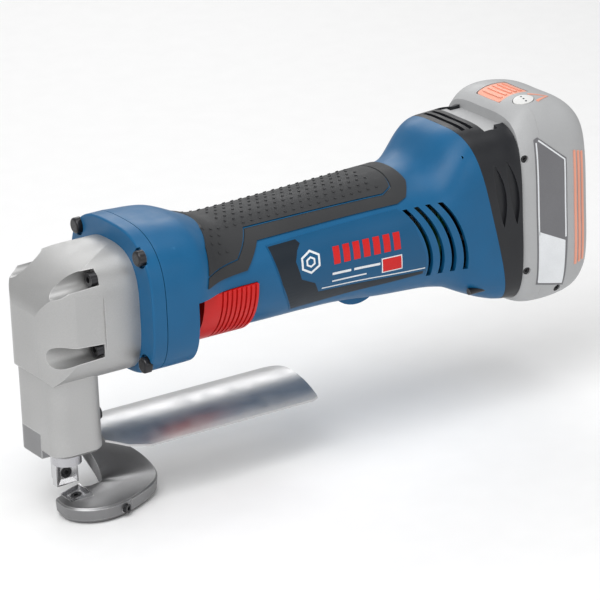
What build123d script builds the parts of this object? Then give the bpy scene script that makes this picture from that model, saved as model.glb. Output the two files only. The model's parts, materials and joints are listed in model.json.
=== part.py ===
from build123d import *
import os
from math import copysign, cos, pi, sin

# Cordless sheet-metal shear with a C-shaped table and a slide-on battery pack.
# Millimetres, +Z up. The handle runs along +X towards the battery and the cut runs in the
# plane Y = 0. The origin is on the flat underside of the table, below its throat.

# ---------------------------------------------------------------- driving dimensions
AXIS_Z = 113.0          # handle axis above the underside of the table
ROTOR_Z = 116.0         # motor axis
GEAR_MODULE = 0.7
PINION_TEETH = 8
GEAR_TEETH = 40
GEAR_Z = ROTOR_Z - GEAR_MODULE * (PINION_TEETH + GEAR_TEETH) / 2
RAM_X = -22.5           # vertical cutting axis
CRANK_THROW = 1.8       # eccentricity, half of the stroke
ROLLER_R = 7.0
RAM_R = 8.0
RUNNING_GAP = 0.05      # radial clearance of a shaft in its bush
BODY_GAP = 0.4          # air between pieces that move past each other
SEAT_GAP = 0.05         # air between pieces that are only assembled together
WALL = 2.6              # plastic wall

NOSE_X = -42.0          # flat front face of the casting
HEAD_REAR_X = 10.5      # joint face between casting and gearbox cover
COVER_REAR_X = 19.0     # joint face between gearbox cover and handle
COVER_SEAM = 0.45       # open shadow line in front of that face
PACK_FRONT_X = 247.9
PACK_SEAM_X = 260.6
PACK_BASE_X = 292.0

KNIFE_SIDE = 13.0
KNIFE_THICK = 4.7
KNIFE_GAP = 0.2         # each knife stands this far from the plane of the cut
PAD_BOTTOM_Z = 33.0     # upper pad of the table frame, bolted up under the neck
PAD_TOP_Z = 47.0
NECK_BOTTOM_Z = 36.5
NECK_FRONT_X = -39.4
NECK_BACK_X = -9.0

SLIDER_TRAVEL = 6.0

os.makedirs("parts", exist_ok=True)


# ---------------------------------------------------------------- outline helpers
def oval(half_width, top, bottom, top_power, bottom_power, inset=0.0, middle_z=AXIS_Z, count=24):
    """Points round a rounded, almost rectangular cross-section."""
    points = []
    for i in range(count):
        angle = 2 * pi * i / count
        power = top_power if sin(angle) >= 0 else bottom_power
        reach = (top if sin(angle) >= 0 else bottom) - inset
        y = (half_width - inset) * copysign(abs(cos(angle)) ** (2 / power), cos(angle))
        z = reach * copysign(abs(sin(angle)) ** (2 / power), sin(angle))
        points.append((y, middle_z + z))
    return points


def gear_points(teeth, module, tooth_share=0.46, steps=3):
    """Points round a spur gear with rounded-off straight-flank teeth."""
    pitch_r = module * teeth / 2
    root_r = pitch_r - 1.25 * module
    tip_r = pitch_r + 0.95 * module
    pitch_angle = 2 * pi / teeth
    flank = [(root_r, 0.74), (pitch_r, tooth_share), (tip_r, 0.2)]
    points = []
    for tooth in range(teeth):
        middle = tooth * pitch_angle
        for radius, share in flank:
            angle = middle - share * pitch_angle / 2
            points.append((radius * cos(angle), radius * sin(angle)))
        for radius, share in reversed(flank):
            angle = middle + share * pitch_angle / 2
            points.append((radius * cos(angle), radius * sin(angle)))
    return points


# ---------------------------------------------------------------- handle shape
# x, half width, top, bottom, power of the upper curve, power of the lower curve
HANDLE_SECTIONS = [
    (19.0, 43.0, 40.0, 39.7, 2.8, 3.3),
    (24.0, 42.9, 39.8, 39.8, 2.8, 3.3),
    (29.0, 42.8, 39.5, 39.8, 2.8, 3.3),
    (34.0, 42.6, 39.2, 39.8, 2.8, 3.3),
    (39.0, 42.2, 38.7, 39.8, 2.8, 3.3),
    (44.0, 41.2, 37.8, 39.4, 2.75, 3.25),
    (48.0, 39.4, 36.5, 38.3, 2.6, 3.1),
    (52.0, 37.2, 34.8, 36.4, 2.5, 2.8),
    (57.0, 35.2, 32.5, 34.4, 2.35, 2.4),
    (64.0, 34.0, 30.2, 33.6, 2.25, 2.25),
    (76.0, 33.6, 29.6, 33.2, 2.15, 2.15),
    (92.0, 33.5, 29.9, 33.2, 2.15, 2.15),
    (110.0, 33.5, 30.3, 33.2, 2.15, 2.15),
    (128.0, 33.7, 30.8, 33.4, 2.15, 2.15),
    (145.0, 34.2, 31.3, 34.2, 2.15, 2.15),
    (160.0, 35.2, 31.7, 35.8, 2.15, 2.2),
    (174.0, 36.0, 32.0, 36.8, 2.2, 2.25),
    (186.0, 36.4, 32.4, 37.4, 2.2, 2.3),
    (196.0, 36.8, 35.0, 38.0, 2.3, 2.4),
    (203.0, 37.2, 41.0, 38.8, 2.6, 2.6),
    (209.0, 37.6, 47.0, 40.0, 3.0, 2.9),
    (216.0, 38.0, 50.0, 43.2, 3.6, 3.3),
    (224.0, 38.2, 50.6, 47.0, 3.9, 3.7),
    (232.0, 38.2, 50.6, 50.2, 4.1, 4.0),
    (240.0, 38.2, 50.5, 52.2, 4.2, 4.2),
    (247.4, 38.2, 50.4, 53.0, 4.2, 4.3),
]


def handle_sections(inset):
    """Sections of the handle, moved inwards everywhere by inset."""
    return [
        (x, oval(width, top, bottom, top_power, bottom_power, inset))
        for x, width, top, bottom, top_power, bottom_power in HANDLE_SECTIONS
    ]


def handle_solid(inset):
    """Solid of the whole handle outline, moved inwards by inset."""
    with BuildPart() as solid:
        for x, points in handle_sections(inset):
            with BuildSketch(Plane.YZ.offset(x)):
                with BuildLine():
                    Spline(*points, periodic=True)
                make_face()
        loft()
    return solid.part


GRIP_PROUD = 0.7
GRIP_DEPTH = 1.2
LABEL_THICK = 0.35
handle_outer = handle_solid(0.0)
handle_inner = handle_solid(WALL)
grip_outer = handle_solid(-GRIP_PROUD)
grip_floor = handle_solid(GRIP_DEPTH)
label_outer = handle_solid(-LABEL_THICK)
label_floor = handle_solid(-SEAT_GAP / 2)

# The joint between the handle shell and the rear cover leans forwards at the top.
SPLIT_LOW = (241.0, 55.0)
SPLIT_HIGH = (216.5, 168.0)
SIDE_REACH = 60.0


def grip_outline(margin):
    """Side view of the soft grip, as x and z, grown by margin."""
    return [
        (66.0 - margin, 160.0),
        (66.0 - margin, 147.0),
        (56.0 - margin, 143.5),
        (50.5 - margin, 138.0),
        (45.5 - margin, 118.8 - margin),
        (74.0 + margin, 120.4 - margin),
        (80.0 + margin, 127.5 - margin),
        (84.5 + margin, 133.0 - margin),
        (172.0 + margin, 134.6 - margin),
        (178.5 + margin, 136.5 - margin),
        (184.5 + margin, 142.5 - margin),
        (187.0 + margin, 160.0),
    ]


# Inner panel of the grip: a rib of the handle shell shows between it and the border.
PANEL_OUTLINE = [
    (46.5, 124.6),
    (69.6, 126.8),
    (75.4, 132.4),
    (81.0, 138.6),
    (167.0, 139.3),
    (173.6, 141.4),
    (177.0, 146.0),
    (177.0, 160.0),
    (40.0, 160.0),
]
RIB_HALF = 0.45

# ---------------------------------------------------------------- head casting
BLOCK_WIDTH = 29.3
with BuildPart() as gear_head:
    # Block around the crank, from its side view, plan view and end view.
    with BuildSketch(Plane.XZ):
        with BuildLine():
            Spline(
                (NOSE_X, 116.0), (-38.8, 124.5), (-30.0, 132.0), (-12.0, 140.0),
                (HEAD_REAR_X, 143.0),
            )
            Polyline(
                (HEAD_REAR_X, 143.0), (HEAD_REAR_X, 75.0), (-30.0, 76.5), (-38.0, 78.0),
                (NOSE_X, 82.0), (NOSE_X, 116.0),
            )
        make_face()
    extrude(amount=BLOCK_WIDTH, both=True)
    with BuildSketch(Plane.XY.offset(60.0)):
        with BuildLine():
            Polyline((HEAD_REAR_X, 30.0), (-10.0, 29.6), (-10.0, 28.4), (-26.0, 28.0))
            ThreePointArc((-26.0, 28.0), (-36.5, 23.0), (NOSE_X, 12.5))
            Line((NOSE_X, 12.5), (NOSE_X, -12.5))
            ThreePointArc((NOSE_X, -12.5), (-36.5, -23.0), (-26.0, -28.0))
            Polyline((-26.0, -28.0), (-10.0, -28.4), (-10.0, -29.6), (HEAD_REAR_X, -30.0))
            Line((HEAD_REAR_X, -30.0), (HEAD_REAR_X, 30.0))
        make_face()
    extrude(amount=100.0, mode=Mode.INTERSECT)
    with BuildSketch(Plane.YZ.offset(-60.0)):
        with BuildLine():
            Spline(*oval(BLOCK_WIDTH, 30.0, 38.0, 2.8, 3.6), periodic=True)
        make_face()
    extrude(amount=100.0, mode=Mode.INTERSECT)
    # Neck that carries the guide of the ram.
    with BuildSketch(Plane.XY.offset(NECK_BOTTOM_Z)):
        with Locations(((NECK_FRONT_X + NECK_BACK_X) / 2, 0.0)):
            RectangleRounded(NECK_BACK_X - NECK_FRONT_X, 44.0, 9.0)
    extrude(amount=60.0)
    neck_foot = gear_head.edges().group_by(Axis.Z)[0]
    chamfer(neck_foot, 1.6)
    # Rebate for the upper pad of the table frame.
    with BuildSketch(Plane.XY.offset(PAD_TOP_Z)):
        with Locations((-20.0, 13.0)):
            Rectangle(50.0, 36.0)
    extrude(amount=-(PAD_TOP_Z - NECK_BOTTOM_Z) - 1.0, mode=Mode.SUBTRACT)
    # Chamber of the ram yoke.
    with BuildSketch(Plane.XY.offset(69.5)):
        with Locations((-22.0, 0.0)):
            RectangleRounded(21.6, 33.0, 3.0)
    extrude(amount=49.0, mode=Mode.SUBTRACT)
    # Bore of the ram guide.
    with BuildSketch(Plane.XY.offset(NECK_BOTTOM_Z)):
        with Locations((RAM_X, 0.0)):
            Circle(11.0)
    extrude(amount=40.0, mode=Mode.SUBTRACT)
    # Seat of the front crank bearing and room for the gear pair.
    with BuildSketch(Plane.YZ.offset(-12.0)):
        with Locations((0.0, GEAR_Z)):
            Circle(11.0)
    extrude(amount=8.0, mode=Mode.SUBTRACT)
    with BuildSketch(Plane.YZ.offset(-8.0)):
        with Locations((0.0, GEAR_Z)):
            Circle(13.0)
    extrude(amount=30.0, mode=Mode.SUBTRACT)
    with BuildSketch(Plane.YZ.offset(3.0)):
        with Locations((0.0, GEAR_Z)):
            Circle(17.0)
        with Locations((0.0, ROTOR_Z)):
            Circle(7.0)
    extrude(amount=10.0, mode=Mode.SUBTRACT)

# Screw channels down both flanks, each ending at the flange band.
HEAD_SCREWS = [(-22.0, 132.4), (22.0, 132.4), (-24.2, 94.6), (24.2, 94.6)]
HEAD_SCREW_R = 2.0
with BuildPart(mode=Mode.PRIVATE) as head_channels:
    with BuildSketch(Plane.YZ.offset(-11.0)):
        with Locations(*HEAD_SCREWS):
            Circle(5.4)
    extrude(amount=-40.0, taper=-1.5)
    with BuildSketch(Plane.YZ.offset(-12.0)):
        with Locations(*HEAD_SCREWS):
            Circle(HEAD_SCREW_R + SEAT_GAP)
    extrude(amount=40.0)
with BuildPart() as head_with_channels:
    add(gear_head.part)
    add(head_channels.part, mode=Mode.SUBTRACT)
gear_head = head_with_channels

with BuildPart() as head_screws:
    with BuildSketch(Plane.YZ.offset(-11.0)):
        with Locations(*HEAD_SCREWS):
            Circle(3.9)
    extrude(amount=-4.0)
    with BuildSketch(Plane.YZ.offset(-11.0)):
        with Locations(*HEAD_SCREWS):
            Circle(HEAD_SCREW_R)
    extrude(amount=28.0)
    with BuildSketch(Plane.YZ.offset(-15.0)):
        with Locations(*HEAD_SCREWS):
            RegularPolygon(1.9, 6)
    extrude(amount=2.2, mode=Mode.SUBTRACT)

# ---------------------------------------------------------------- ram, guide and knives
with BuildPart() as ram_bush:
    with BuildSketch(Plane.XY.offset(NECK_BOTTOM_Z + 0.5)):
        with Locations((RAM_X, 0.0)):
            Circle(11.0)
            Circle(RAM_R + RUNNING_GAP, mode=Mode.SUBTRACT)
    extrude(amount=32.0)

KNIFE_BOTTOM_Z = 12.4
KNIFE_TOP_Z = KNIFE_BOTTOM_Z + KNIFE_SIDE
KNIFE_BACK_Y = KNIFE_GAP + KNIFE_THICK
RAM_TOP_Z = 84.0
with BuildPart() as ram:
    with BuildSketch(Plane.XY.offset(KNIFE_TOP_Z + 1.8)):
        with Locations((RAM_X, 0.0)):
            Circle(RAM_R)
    extrude(amount=RAM_TOP_Z - KNIFE_TOP_Z - 1.8)
    # Foot of the ram: a square tongue behind the knife and a shoulder above it.
    with BuildSketch(Plane.XY.offset(KNIFE_TOP_Z + 0.1)):
        with Locations((RAM_X, 0.0)):
            Circle(RAM_R)
    extrude(amount=1.9)
    with BuildSketch(Plane.XY.offset(KNIFE_BOTTOM_Z + 2.4)):
        with BuildLine():
            Polyline(
                (RAM_X - 6.0, KNIFE_BACK_Y), (RAM_X + 6.0, KNIFE_BACK_Y),
                (RAM_X + 4.6, 9.6), (RAM_X - 4.6, 9.6), close=True,
            )
        make_face()
    extrude(amount=KNIFE_SIDE)
    # Tapped hole for the knife screw and cross hole for the yoke pin.
    with BuildSketch(Plane.XZ.offset(-4.0)):
        with Locations((RAM_X, KNIFE_BOTTOM_Z + KNIFE_SIDE / 2)):
            Circle(1.7)
    extrude(amount=-8.0, mode=Mode.SUBTRACT)
    with BuildSketch(Plane.XZ.offset(20.0)):
        with Locations((RAM_X, 79.0)):
            Circle(2.0)
    extrude(amount=-40.0, mode=Mode.SUBTRACT)

WINDOW_HALF_Z = ROLLER_R + 2 * CRANK_THROW + BODY_GAP
WINDOW_HALF_Y = ROLLER_R + CRANK_THROW + BODY_GAP
YOKE_THICK = 12.0
with BuildPart() as ram_yoke:
    with BuildSketch(Plane.YZ.offset(RAM_X - YOKE_THICK / 2)):
        with Locations((0.0, GEAR_Z)):
            RectangleRounded(2 * WINDOW_HALF_Y + 9.0, 2 * WINDOW_HALF_Z + 8.0, 4.0)
    extrude(amount=YOKE_THICK)
    with BuildSketch(Plane.XY.offset(71.8)):
        with Locations((RAM_X, 0.0)):
            RectangleRounded(17.6, 20.0, 3.0)
    extrude(amount=GEAR_Z - WINDOW_HALF_Z - 71.8)
    with BuildSketch(Plane.YZ.offset(RAM_X - 20.0)):
        with Locations((0.0, GEAR_Z)):
            Rectangle(2 * WINDOW_HALF_Y, 2 * WINDOW_HALF_Z)
    extrude(amount=40.0, mode=Mode.SUBTRACT)
    with BuildSketch(Plane.XY.offset(71.0)):
        with Locations((RAM_X, 0.0)):
            Circle(RAM_R)
    extrude(amount=RAM_TOP_Z - 71.0, mode=Mode.SUBTRACT)
    with BuildSketch(Plane.XZ.offset(20.0)):
        with Locations((RAM_X, 79.0)):
            Circle(2.0)
    extrude(amount=-40.0, mode=Mode.SUBTRACT)

with BuildPart() as yoke_pin:
    with BuildSketch(Plane.XZ.offset(9.6)):
        with Locations((RAM_X, 79.0)):
            Circle(2.0)
    extrude(amount=-19.2)

with BuildPart() as upper_knife:
    with BuildSketch(Plane.XZ.offset(-KNIFE_GAP)):
        with BuildLine():
            Polyline(
                (RAM_X - 6.5, KNIFE_BOTTOM_Z), (RAM_X + 6.5, KNIFE_BOTTOM_Z + 0.4),
                (RAM_X + 6.5, KNIFE_TOP_Z), (RAM_X - 6.5, KNIFE_TOP_Z), close=True,
            )
        make_face()
    extrude(amount=-KNIFE_THICK)
    # Shallow four-sided dish in the cutting face, so that only its rim touches the sheet.
    with BuildSketch(Plane.XZ.offset(-KNIFE_GAP)):
        with Locations((RAM_X, KNIFE_BOTTOM_Z + KNIFE_SIDE / 2)):
            Rectangle(11.4, 11.4)
    extrude(amount=-1.3, taper=60.0, mode=Mode.SUBTRACT)
    with BuildSketch(Plane.XZ.offset(-KNIFE_GAP)):
        with Locations((RAM_X, KNIFE_BOTTOM_Z + KNIFE_SIDE / 2)):
            Circle(2.0)
    extrude(amount=-KNIFE_THICK, mode=Mode.SUBTRACT)
    with BuildSketch(Plane.XZ.offset(-KNIFE_GAP - 0.9)):
        with Locations((RAM_X, KNIFE_BOTTOM_Z + KNIFE_SIDE / 2)):
            Circle(3.3)
    extrude(amount=-2.0, mode=Mode.SUBTRACT)

with BuildPart() as upper_knife_screw:
    with BuildSketch(Plane.XZ.offset(-KNIFE_GAP - 1.2)):
        with Locations((RAM_X, KNIFE_BOTTOM_Z + KNIFE_SIDE / 2)):
            Circle(3.1)
    extrude(amount=-1.7)
    with BuildSketch(Plane.XZ.offset(-KNIFE_GAP - 1.2)):
        with Locations((RAM_X, KNIFE_BOTTOM_Z + KNIFE_SIDE / 2)):
            Circle(1.7)
    extrude(amount=-7.6)
    with BuildSketch(Plane.XZ.offset(-KNIFE_GAP - 1.2)):
        with Locations((RAM_X, KNIFE_BOTTOM_Z + KNIFE_SIDE / 2)):
            RegularPolygon(1.5, 6)
    extrude(amount=-1.2, mode=Mode.SUBTRACT)

# The lower knife lies flat on the table and climbs towards the rear.
KNIFE_RAKE = 13.0
lower_knife_plane = Plane(
    origin=(-22.3, -7.1, 10.0),
    x_dir=(cos(KNIFE_RAKE * pi / 180), 0.0, sin(KNIFE_RAKE * pi / 180)),
    z_dir=(-sin(KNIFE_RAKE * pi / 180), 0.0, cos(KNIFE_RAKE * pi / 180)),
)
LOWER_KNIFE_WIDTH = 12.6
LOWER_KNIFE_DEPTH = 13.8
with BuildPart() as lower_knife:
    with BuildSketch(lower_knife_plane):
        Rectangle(LOWER_KNIFE_WIDTH, LOWER_KNIFE_DEPTH)
    extrude(amount=-4.4)
    with BuildSketch(lower_knife_plane):
        Rectangle(LOWER_KNIFE_WIDTH - 1.4, LOWER_KNIFE_DEPTH - 1.4)
    extrude(amount=-1.2, taper=58.0, mode=Mode.SUBTRACT)
    with BuildSketch(lower_knife_plane):
        Circle(2.0)
    extrude(amount=-4.4, mode=Mode.SUBTRACT)
    with BuildSketch(lower_knife_plane.offset(-0.8)):
        Circle(3.2)
    extrude(amount=-2.2, mode=Mode.SUBTRACT)

with BuildPart() as lower_knife_screw:
    with BuildSketch(lower_knife_plane.offset(-1.1)):
        Circle(3.0)
    extrude(amount=-1.9)
    with BuildSketch(lower_knife_plane.offset(-1.1)):
        Circle(1.7)
    extrude(amount=-6.4)
    with BuildSketch(lower_knife_plane.offset(-1.1)):
        RegularPolygon(1.5, 6)
    extrude(amount=-1.2, mode=Mode.SUBTRACT)

# ---------------------------------------------------------------- C-shaped table frame
# The table is a ramp round a vertical axis: it starts under the lower knife, runs flat past
# the near side and then climbs behind the knives to the pad under the neck.
TABLE_CENTRE = (-9.0, 5.0)
TABLE_THICK = 9.0
# angle in degrees, inner radius, outer radius, height of the underside
TABLE_SECTIONS = [
    (203.0, 8.6, 26.6, -0.6),
    (222.0, 7.4, 33.6, -0.6),
    (247.0, 6.4, 37.6, -0.6),
    (272.0, 6.2, 36.0, -0.6),
    (297.0, 6.2, 34.4, -0.6),
    (322.0, 7.6, 36.4, -0.6),
    (347.0, 8.4, 39.0, -0.4),
    (12.0, 9.0, 38.4, 4.6),
    (37.0, 9.0, 34.4, 11.0),
    (62.0, 8.4, 28.6, 18.0),
    (87.0, 7.4, 21.0, 25.4),
    (104.0, 6.2, 18.0, 31.0),
]


def radial_plane(angle_deg):
    """Plane through the vertical axis of the table, its x along the radius and its y up."""
    angle = angle_deg * pi / 180
    return Plane(
        origin=(TABLE_CENTRE[0], TABLE_CENTRE[1], 0.0),
        x_dir=(cos(angle), sin(angle), 0.0),
        z_dir=(sin(angle), -cos(angle), 0.0),
    )


with BuildPart() as table_ramp:
    for angle, inner, outer, low in TABLE_SECTIONS:
        with BuildSketch(radial_plane(angle)):
            with BuildLine():
                Polyline(
                    (inner, low), (outer - 3.0, low), (outer - 0.6, low + 2.8),
                    (outer, low + TABLE_THICK - 0.4), (outer - 1.0, low + TABLE_THICK + 0.6),
                    (inner, low + TABLE_THICK + 0.6), close=True,
                )
            make_face()
    loft()

table_bolt_places = [(-32.6, 14.0), (-14.6, 15.8)]
with BuildPart() as table_frame:
    add(table_ramp.part)
    # The underside is cut flat: it is what the tool stands on.
    with BuildSketch(Plane.XY):
        Rectangle(200.0, 200.0)
    extrude(amount=-10.0, mode=Mode.SUBTRACT)
    # Upper pad, flush with the neck, with the rounded apron at its front corner.
    with BuildSketch(Plane.XY.offset(PAD_BOTTOM_Z)):
        with BuildLine():
            Line((NECK_FRONT_X, -4.8), (NECK_FRONT_X, 13.0))
            ThreePointArc((NECK_FRONT_X, 13.0), (-36.8, 19.4), (-30.4, 22.0))
            Polyline((-30.4, 22.0), (-9.2, 22.0), (-9.2, -4.8), (NECK_FRONT_X, -4.8))
        make_face()
        with Locations((RAM_X, 0.0)):
            Circle(11.0 + SEAT_GAP, mode=Mode.SUBTRACT)
        with Locations((RAM_X, -8.0)):
            Rectangle(22.1, 16.0, mode=Mode.SUBTRACT)
    extrude(amount=PAD_TOP_Z - PAD_BOTTOM_Z)
    # Pocket for the lower knife, its screw and the gap setting screw.
    with BuildSketch(lower_knife_plane.offset(6.0)):
        Rectangle(LOWER_KNIFE_WIDTH + 2 * SEAT_GAP, LOWER_KNIFE_DEPTH + 2 * SEAT_GAP)
    extrude(amount=-6.0 - 4.4 - SEAT_GAP, mode=Mode.SUBTRACT)
    with BuildSketch(lower_knife_plane):
        Circle(1.7 + SEAT_GAP)
    extrude(amount=-7.9, mode=Mode.SUBTRACT)
    # The kerf edge of the table is straight, in line with the lower knife.
    with BuildSketch(Plane.XY.offset(-1.0)):
        with Locations((-28.0, 10.2)):
            Rectangle(32.0, 20.0)
    extrude(amount=20.0, mode=Mode.SUBTRACT)
    with Locations(*[(x, y, PAD_BOTTOM_Z + 5.0) for x, y in table_bolt_places]):
        Cylinder(4.6, 5.1, align=(Align.CENTER, Align.CENTER, Align.MAX), mode=Mode.SUBTRACT)
        Cylinder(2.55, 30.0, mode=Mode.SUBTRACT)

SET_SCREW_LEAN = 30.0
set_screw_plane = Plane(
    origin=(-4.4, -30.6, 4.5),
    x_dir=(0.0, 0.0, 1.0),
    z_dir=(sin(SET_SCREW_LEAN * pi / 180), -cos(SET_SCREW_LEAN * pi / 180), 0.0),
)
with BuildPart() as table_with_screw_hole:
    add(table_frame.part)
    with BuildSketch(set_screw_plane.offset(10.0)):
        Circle(2.5 + SEAT_GAP)
    extrude(amount=-27.0, mode=Mode.SUBTRACT)
    with BuildSketch(set_screw_plane.offset(10.0)):
        Rectangle(20.0, 8.4)
    extrude(amount=-10.0, mode=Mode.SUBTRACT)
table_frame = table_with_screw_hole

with BuildPart() as gap_set_screw:
    with BuildSketch(set_screw_plane.offset(0.8)):
        Circle(2.5)
    extrude(amount=-15.0)
    with BuildSketch(set_screw_plane.offset(0.8)):
        RegularPolygon(1.45, 6)
    extrude(amount=-2.6, mode=Mode.SUBTRACT)

with BuildPart() as neck_with_bolt_holes:
    add(gear_head.part)
    with Locations(*[(x, y, PAD_TOP_Z) for x, y in table_bolt_places]):
        Cylinder(2.55, 24.0, mode=Mode.SUBTRACT)
gear_head = neck_with_bolt_holes

with BuildPart() as table_bolts:
    with Locations(*[(x, y, PAD_BOTTOM_Z + 5.0) for x, y in table_bolt_places]):
        Cylinder(4.2, 4.6, align=(Align.CENTER, Align.CENTER, Align.MAX))
        Cylinder(2.5, 18.0, align=(Align.CENTER, Align.CENTER, Align.MIN))
        Cylinder(1.9, 9.2, mode=Mode.SUBTRACT, align=(Align.CENTER, Align.CENTER, Align.CENTER))

# ---------------------------------------------------------------- sheet deflector
TONGUE_THICK = 1.2
TONGUE_HALF = 27.0
TONGUE_SAG = 9.0
TONGUE_FRONT_X = -8.4
TONGUE_BACK_X = 118.5
TONGUE_CREST_Z = 44.0

with BuildPart() as deflector_tongue:
    with BuildSketch(Plane.YZ.offset(TONGUE_FRONT_X)):
        with BuildLine():
            edge = (TONGUE_HALF, TONGUE_CREST_Z - TONGUE_SAG)
            ThreePointArc((-edge[0], edge[1]), (0.0, TONGUE_CREST_Z), edge)
            Line(edge, (edge[0], edge[1] - TONGUE_THICK))
            ThreePointArc(
                (edge[0], edge[1] - TONGUE_THICK),
                (0.0, TONGUE_CREST_Z - TONGUE_THICK),
                (-edge[0], edge[1] - TONGUE_THICK),
            )
            Line((-edge[0], edge[1] - TONGUE_THICK), (-edge[0], edge[1]))
        make_face()
    extrude(amount=TONGUE_BACK_X - TONGUE_FRONT_X)
    with BuildSketch(Plane.XY):
        with BuildLine():
            Polyline(
                (TONGUE_FRONT_X, -18.0), (TONGUE_FRONT_X, 14.0), (2.0, 19.5),
                (18.0, TONGUE_HALF - 0.5), (92.0, TONGUE_HALF - 0.5),
            )
            ThreePointArc((92.0, TONGUE_HALF - 0.5), (111.0, 17.5), (117.0, -2.0))
            Polyline(
                (117.0, -2.0), (TONGUE_BACK_X, 1.0 - TONGUE_HALF), (TONGUE_BACK_X - 3.0, -TONGUE_HALF),
                (14.0, -TONGUE_HALF), (2.0, -24.0), (TONGUE_FRONT_X, -18.0),
            )
        make_face()
    extrude(amount=60.0, mode=Mode.INTERSECT)

# The root of the deflector is a bent tab that is screwed to the back of the neck.
TAB_THICK = 1.6
with BuildPart() as tongue_with_tab:
    add(deflector_tongue.part)
    with BuildSketch(Plane.YZ.offset(NECK_BACK_X + SEAT_GAP)):
        with Locations((0.0, 47.5)):
            RectangleRounded(24.0, 19.0, 4.0)
        with Locations((-6.5, 51.5), (6.5, 51.5)):
            Circle(2.1, mode=Mode.SUBTRACT)
    extrude(amount=TAB_THICK)
deflector_tongue = tongue_with_tab

with BuildPart() as tongue_screws:
    with BuildSketch(Plane.YZ.offset(NECK_BACK_X + TAB_THICK + 2 * SEAT_GAP)):
        with Locations((-6.5, 51.5), (6.5, 51.5)):
            Circle(3.6)
    extrude(amount=2.4)
    with BuildSketch(Plane.YZ.offset(NECK_BACK_X + TAB_THICK + 2 * SEAT_GAP)):
        with Locations((-6.5, 51.5), (6.5, 51.5)):
            Circle(2.0)
    extrude(amount=-4.6)
    with BuildSketch(Plane.YZ.offset(NECK_BACK_X + TAB_THICK + 2.5)):
        with Locations((-6.5, 51.5), (6.5, 51.5)):
            RegularPolygon(1.6, 6)
    extrude(amount=-1.5, mode=Mode.SUBTRACT)

with BuildPart() as head_with_tab_holes:
    add(gear_head.part)
    with BuildSketch(Plane.YZ.offset(NECK_BACK_X)):
        with Locations((-6.5, 51.5), (6.5, 51.5)):
            Circle(2.0 + SEAT_GAP)
    extrude(amount=-3.2, mode=Mode.SUBTRACT)
gear_head = head_with_tab_holes

# ---------------------------------------------------------------- gearbox cover and its screws
FLANGE_SCREWS = [(-32.6, 141.6), (32.6, 141.6), (-32.6, 82.6), (32.6, 82.6)]
with BuildPart() as gearbox_cover:
    with BuildSketch(Plane.YZ.offset(HEAD_REAR_X + SEAT_GAP)):
        with BuildLine():
            Spline(*oval(43.0, 40.0, 39.7, 2.8, 3.3), periodic=True)
        make_face()
    extrude(amount=COVER_REAR_X - HEAD_REAR_X - SEAT_GAP - COVER_SEAM)
    fillet(gearbox_cover.edges().group_by(Axis.X)[0], 1.2)
    with BuildSketch(Plane.YZ.offset(HEAD_REAR_X)):
        with Locations((0.0, GEAR_Z)):
            Circle(17.0)
        with Locations((0.0, ROTOR_Z)):
            Circle(7.0)
    extrude(amount=20.0, mode=Mode.SUBTRACT)
    # Corner pockets under the heads of the long screws.
    with BuildSketch(Plane.YZ.offset(HEAD_REAR_X)):
        with Locations(*FLANGE_SCREWS):
            Circle(5.6)
    extrude(amount=1.6, mode=Mode.SUBTRACT)
    with BuildSketch(Plane.YZ.offset(HEAD_REAR_X)):
        with Locations(*FLANGE_SCREWS):
            Circle(2.1)
    extrude(amount=20.0, mode=Mode.SUBTRACT)
    with BuildSketch(Plane.YZ.offset(HEAD_REAR_X)):
        with Locations(*HEAD_SCREWS):
            Circle(HEAD_SCREW_R + SEAT_GAP)
    extrude(amount=20.0, mode=Mode.SUBTRACT)

with BuildPart() as flange_screws:
    with BuildSketch(Plane.YZ.offset(HEAD_REAR_X + 1.55)):
        with Locations(*FLANGE_SCREWS):
            Circle(4.3)
    extrude(amount=-4.2)
    fillet(flange_screws.edges().group_by(Axis.X)[0], 1.2)
    with BuildSketch(Plane.YZ.offset(HEAD_REAR_X + 1.55)):
        with Locations(*FLANGE_SCREWS):
            Circle(2.05)
    extrude(amount=18.0)
    with BuildSketch(Plane.YZ.offset(HEAD_REAR_X - 2.6)):
        with Locations(*FLANGE_SCREWS):
            RegularPolygon(1.9, 6)
    extrude(amount=2.2, mode=Mode.SUBTRACT)

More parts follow.
